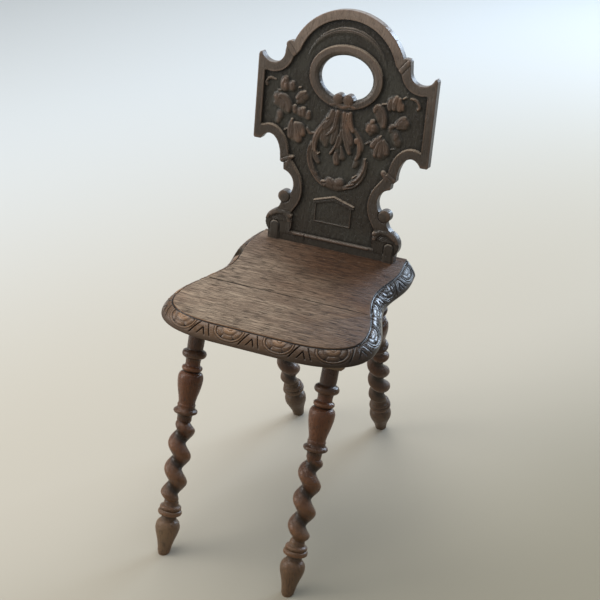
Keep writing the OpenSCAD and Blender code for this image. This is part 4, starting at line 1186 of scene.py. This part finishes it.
def back_finish():
    """Dark stained oak of the back: nearly black ground, brown high places, warm rubbed
    leaves and arrises under old shellac, lighter where hands hold the arch. Painted shade
    darkens the recesses and the ground round the raised clusters, painted highlights run
    along the edges that face up, and a painted grey sheen lies on the side walls."""
    oak = Oak("Dark carved oak", [1.0, 1.0, 0.08], 36, 260, 760, 13, 0.0004)
    grain, wear, at = oak.grain, oak.wear, oak.at
    high, hollow, leaf, patina, ledge_glint, wall = oak.marks("high", "hollow", "leaf", "patina",
                                                        "ledge_glint", "wall")
    handled = at["Z"].spread(0.68, 0.89)
    raised = layered(
        mix(handled, (80, 71, 63), (150, 133, 120)),
        (grain["Streaks"] * 0.3, mix(handled, (66, 57, 50), (112, 94, 82))),
        (wear["Rubbed"] * 0.35, (62, 54, 48)),
        (leaf, mix(wear["Rubbed"], (88, 73, 62), (118, 92, 74))),
        (patina * 0.8, (68, 62, 55)))
    color = layered(
        mix(grain["Streaks"], (66, 61, 54), (59, 54, 48)),
        (wear["Dusty"] * 0.4, (78, 79, 71)),
        (high.spread(0.2, 0.8), raised),
        # painted shade: dark in the recesses and in a halo round the raised clusters
        (hollow.spread(0.35, 2.2, 0.0, 0.75), (27, 24, 21)),
        (hollow.spread(-2.6, -1.3, 0.3, 0.0), (136, 108, 89)),
        # painted highlight: pale glints along the edges that face up
        (ledge_glint.spread(0.1, 0.9, 0.0, 0.7), (174, 157, 138)),
        (grain["Pores"] * 0.3, (34, 28, 24)),
        # painted highlight: a grey sheen on the board's side walls, for window light on its edges
        (wall * 0.5, (96, 92, 90)))
    return oak.done(color, wear["Dusty"] * 0.14 + 0.22 + wall * 0.16,
                    grain["Height"] * wall.spread(0.2, 0.9, 1.0, 0.1))


def leg_finish():
    """Reddish brown turned oak: grime and painted shade in the hollows, painted shade
    at the necks under the rings and on the rear legs, rubbed and with a painted sheen on
    the crests, redder on the vases, dull and dusty towards the floor."""
    oak = Oak("Turned leg oak", [1.0, 1.0, 0.09], 40, 260, 800, 16, 0.0004)
    grain, wear, at = oak.grain, oak.wear, oak.at
    hollow, = oak.marks("hollow")
    vase = at["Z"].spread(0.26, 0.29) * at["Z"].spread(0.34, 0.36, 1.0, 0.0)
    dust = at["Z"].spread(0.02, 0.22, 0.75, 0.0) * (wear["Dusty"] * 0.5 + 0.5)
    # painted shade: darker on the neck under the ring and round the shoulder and beads above the
    # vase
    neck = at["Z"].spread(0.244, 0.252) * at["Z"].spread(0.262, 0.27, 0.5, 0.0)
    neck = neck.math("MAXIMUM", neck, at["Z"].spread(0.335, 0.365, 0.0, 0.5))
    color = layered(
        mix(grain["Tone"], (84, 53, 35), (104, 69, 46)),
        (grain["Streaks"] * 0.5, (64, 41, 27)),
        (wear["Rubbed"] * 0.5, (126, 82, 52)),
        (vase * 0.35, (122, 72, 46)),
        (dust, (130, 107, 80)),
        # grime and painted shade in the hollows and the rope's valleys
        (hollow.spread(0.35, 3.4, 0.0, 0.85), (42, 34, 26)),
        # lighter crests: rubbed wear and a painted sheen
        (hollow.spread(-2.0, -0.5, 0.35, 0.0), (144, 98, 64)),
        # painted shade at the necks
        (neck, (64, 50, 40)),
        # painted shade: the rear legs darker than the front ones
        (at["Y"].spread(-0.05, 0.1, 0.0, 0.45), (48, 41, 35)),
        (grain["Pores"] * 0.5, (40, 28, 21)))
    return oak.done(color, wear["Dusty"] * 0.14 + 0.25 + dust * 0.25, grain["Height"])


def raw_finish():
    """Unfinished oak under the seat: matt, dusty brown."""
    oak = Oak("Raw oak", [1.0, 0.08, 1.0], 36, 220, 700, 10, 0.0005)
    grain = oak.grain
    color = layered(
        mix(grain["Tone"], (126, 100, 74), (154, 126, 96)),
        (grain["Streaks"] * 0.4, (104, 80, 58)),
        (oak.wear["Dusty"] * 0.5, (110, 96, 80)),
        (grain["Pores"] * 0.6, (70, 52, 38)))
    return oak.done(color, 0.72, grain["Height"])


# ---------------------------------------------------------------- build

front, side = rim_strip(rear=False), rim_strip(rear=True)
for pieces, finish in (
        ([carved_back()], back_finish()),
        ([seat_board("seat_front_plank", "seat_front_board", [carve_strip(*front)], False),
          seat_board("seat_rear_plank", "seat_rear_board",
                     [carve_strip(*side), carve_strip(*side, mirror=True)], True)],
         seat_finish()),
        ([turned_leg(number, *leg) for number, leg in enumerate(LEGS)], leg_finish())):
    for piece in pieces:
        piece.data.materials.append(finish)
raw = raw_finish()
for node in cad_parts.values():
    node.data.materials.clear()
    node.data.materials.append(raw)


# ---------------------------------------------------------------- stage, light and camera

def floor():
    """Pale floor: one large square with painted light on it, brighter and cooler towards
    the back and left, darker and warmer towards the front and right.
    """
    mesh = bpy.data.meshes.new("floor")
    mesh.from_pydata([(-9, -9, 0), (9, -9, 0), (9, 9, 0), (-9, 9, 0)], [], [(0, 1, 2, 3)])
    piece = bpy.data.objects.new("floor", mesh)
    bpy.context.scene.collection.objects.link(piece)
    pale = Finish("Pale floor")
    # painted light: the floor's colour falls off from back left to front right
    back_and_left = pale.at["Y"] - pale.at["X"] * 1.6
    color = mix(back_and_left.spread(-1.1, 0.5), (151, 145, 128), (187, 181, 168))
    color = mix(back_and_left.spread(0.6, 4.2), color, (203, 207, 208))
    mesh.materials.append(pale.set(Base_Color=color, Roughness=0.85, Specular_IOR_Level=0.2))


def put(data, side, up, back, place):
    """Puts a lamp or camera at a place, with its own three axes as given."""
    thing = bpy.data.objects.new(data.name, data)
    bpy.context.scene.collection.objects.link(thing)
    matrix = np.eye(4)
    matrix[:3] = np.column_stack([side, up, back, place])
    thing.matrix_world = Matrix(matrix.tolist())
    return thing


def lamp(name, place, aim, width, height, power, color):
    """Soft rectangular lamp at a place, turned towards a point."""
    data = bpy.data.lights.new(name, "AREA")
    data.shape = "RECTANGLE"
    data.size, data.size_y = width, height
    data.energy = power
    data.color = color
    back = np.subtract(place, aim) / np.linalg.norm(np.subtract(place, aim))
    side = np.cross([0, 0, 1.0], back)
    side = side / np.linalg.norm(side)
    put(data, side, np.cross(back, side), back, place)


floor()
lamp("rear window", (1.5, 3.9, 1.55), (0, 0, 0.5), 2.0, 1.2, 125, (0.66, 0.81, 1.0))
lamp("rear wall", (-1.3, 3.6, 1.9), (0, 0, 0.5), 3.2, 1.6, 22, (0.95, 0.97, 1.0))
lamp("ceiling", (-0.9, 0.5, 3.2), (0, 0, 0.3), 3.0, 3.0, 86, (1.0, 0.99, 0.97))
lamp("left fill", (-2.8, -1.2, 1.5), (0, 0, 0.4), 1.8, 1.8, 45, (1.0, 0.97, 0.93))

world = bpy.data.worlds.new("Room")
bpy.context.scene.world = world
world.use_nodes = True
background = world.node_tree.nodes["Background"].inputs
feed(background["Color"], (228, 230, 230))
feed(background["Strength"], 0.42)

# the photograph's camera, as solved from it: direction, roll, focal length and place
az, el, roll = np.radians([23.0552, 29.5854, -1.4348])
forward = np.array([-np.sin(az) * np.cos(el), np.cos(az) * np.cos(el), -np.sin(el)])
level = np.array([np.cos(az), np.sin(az), 0])
fall = np.cross(forward, level)
right = np.cos(roll) * level + np.sin(roll) * fall
down = -np.sin(roll) * level + np.cos(roll) * fall
focal_pixels, picture_pixels = 1298, 600
lens = bpy.data.cameras.new("photograph")
lens.sensor_width = 36
lens.lens = lens.sensor_width * focal_pixels / picture_pixels
lens.clip_end = 50
bpy.context.scene.camera = put(lens, right, -down, -forward, (0.811489, -1.8737205, 1.586219))
bpy.context.scene.view_settings.view_transform = "Standard"

bpy.context.view_layer.update()
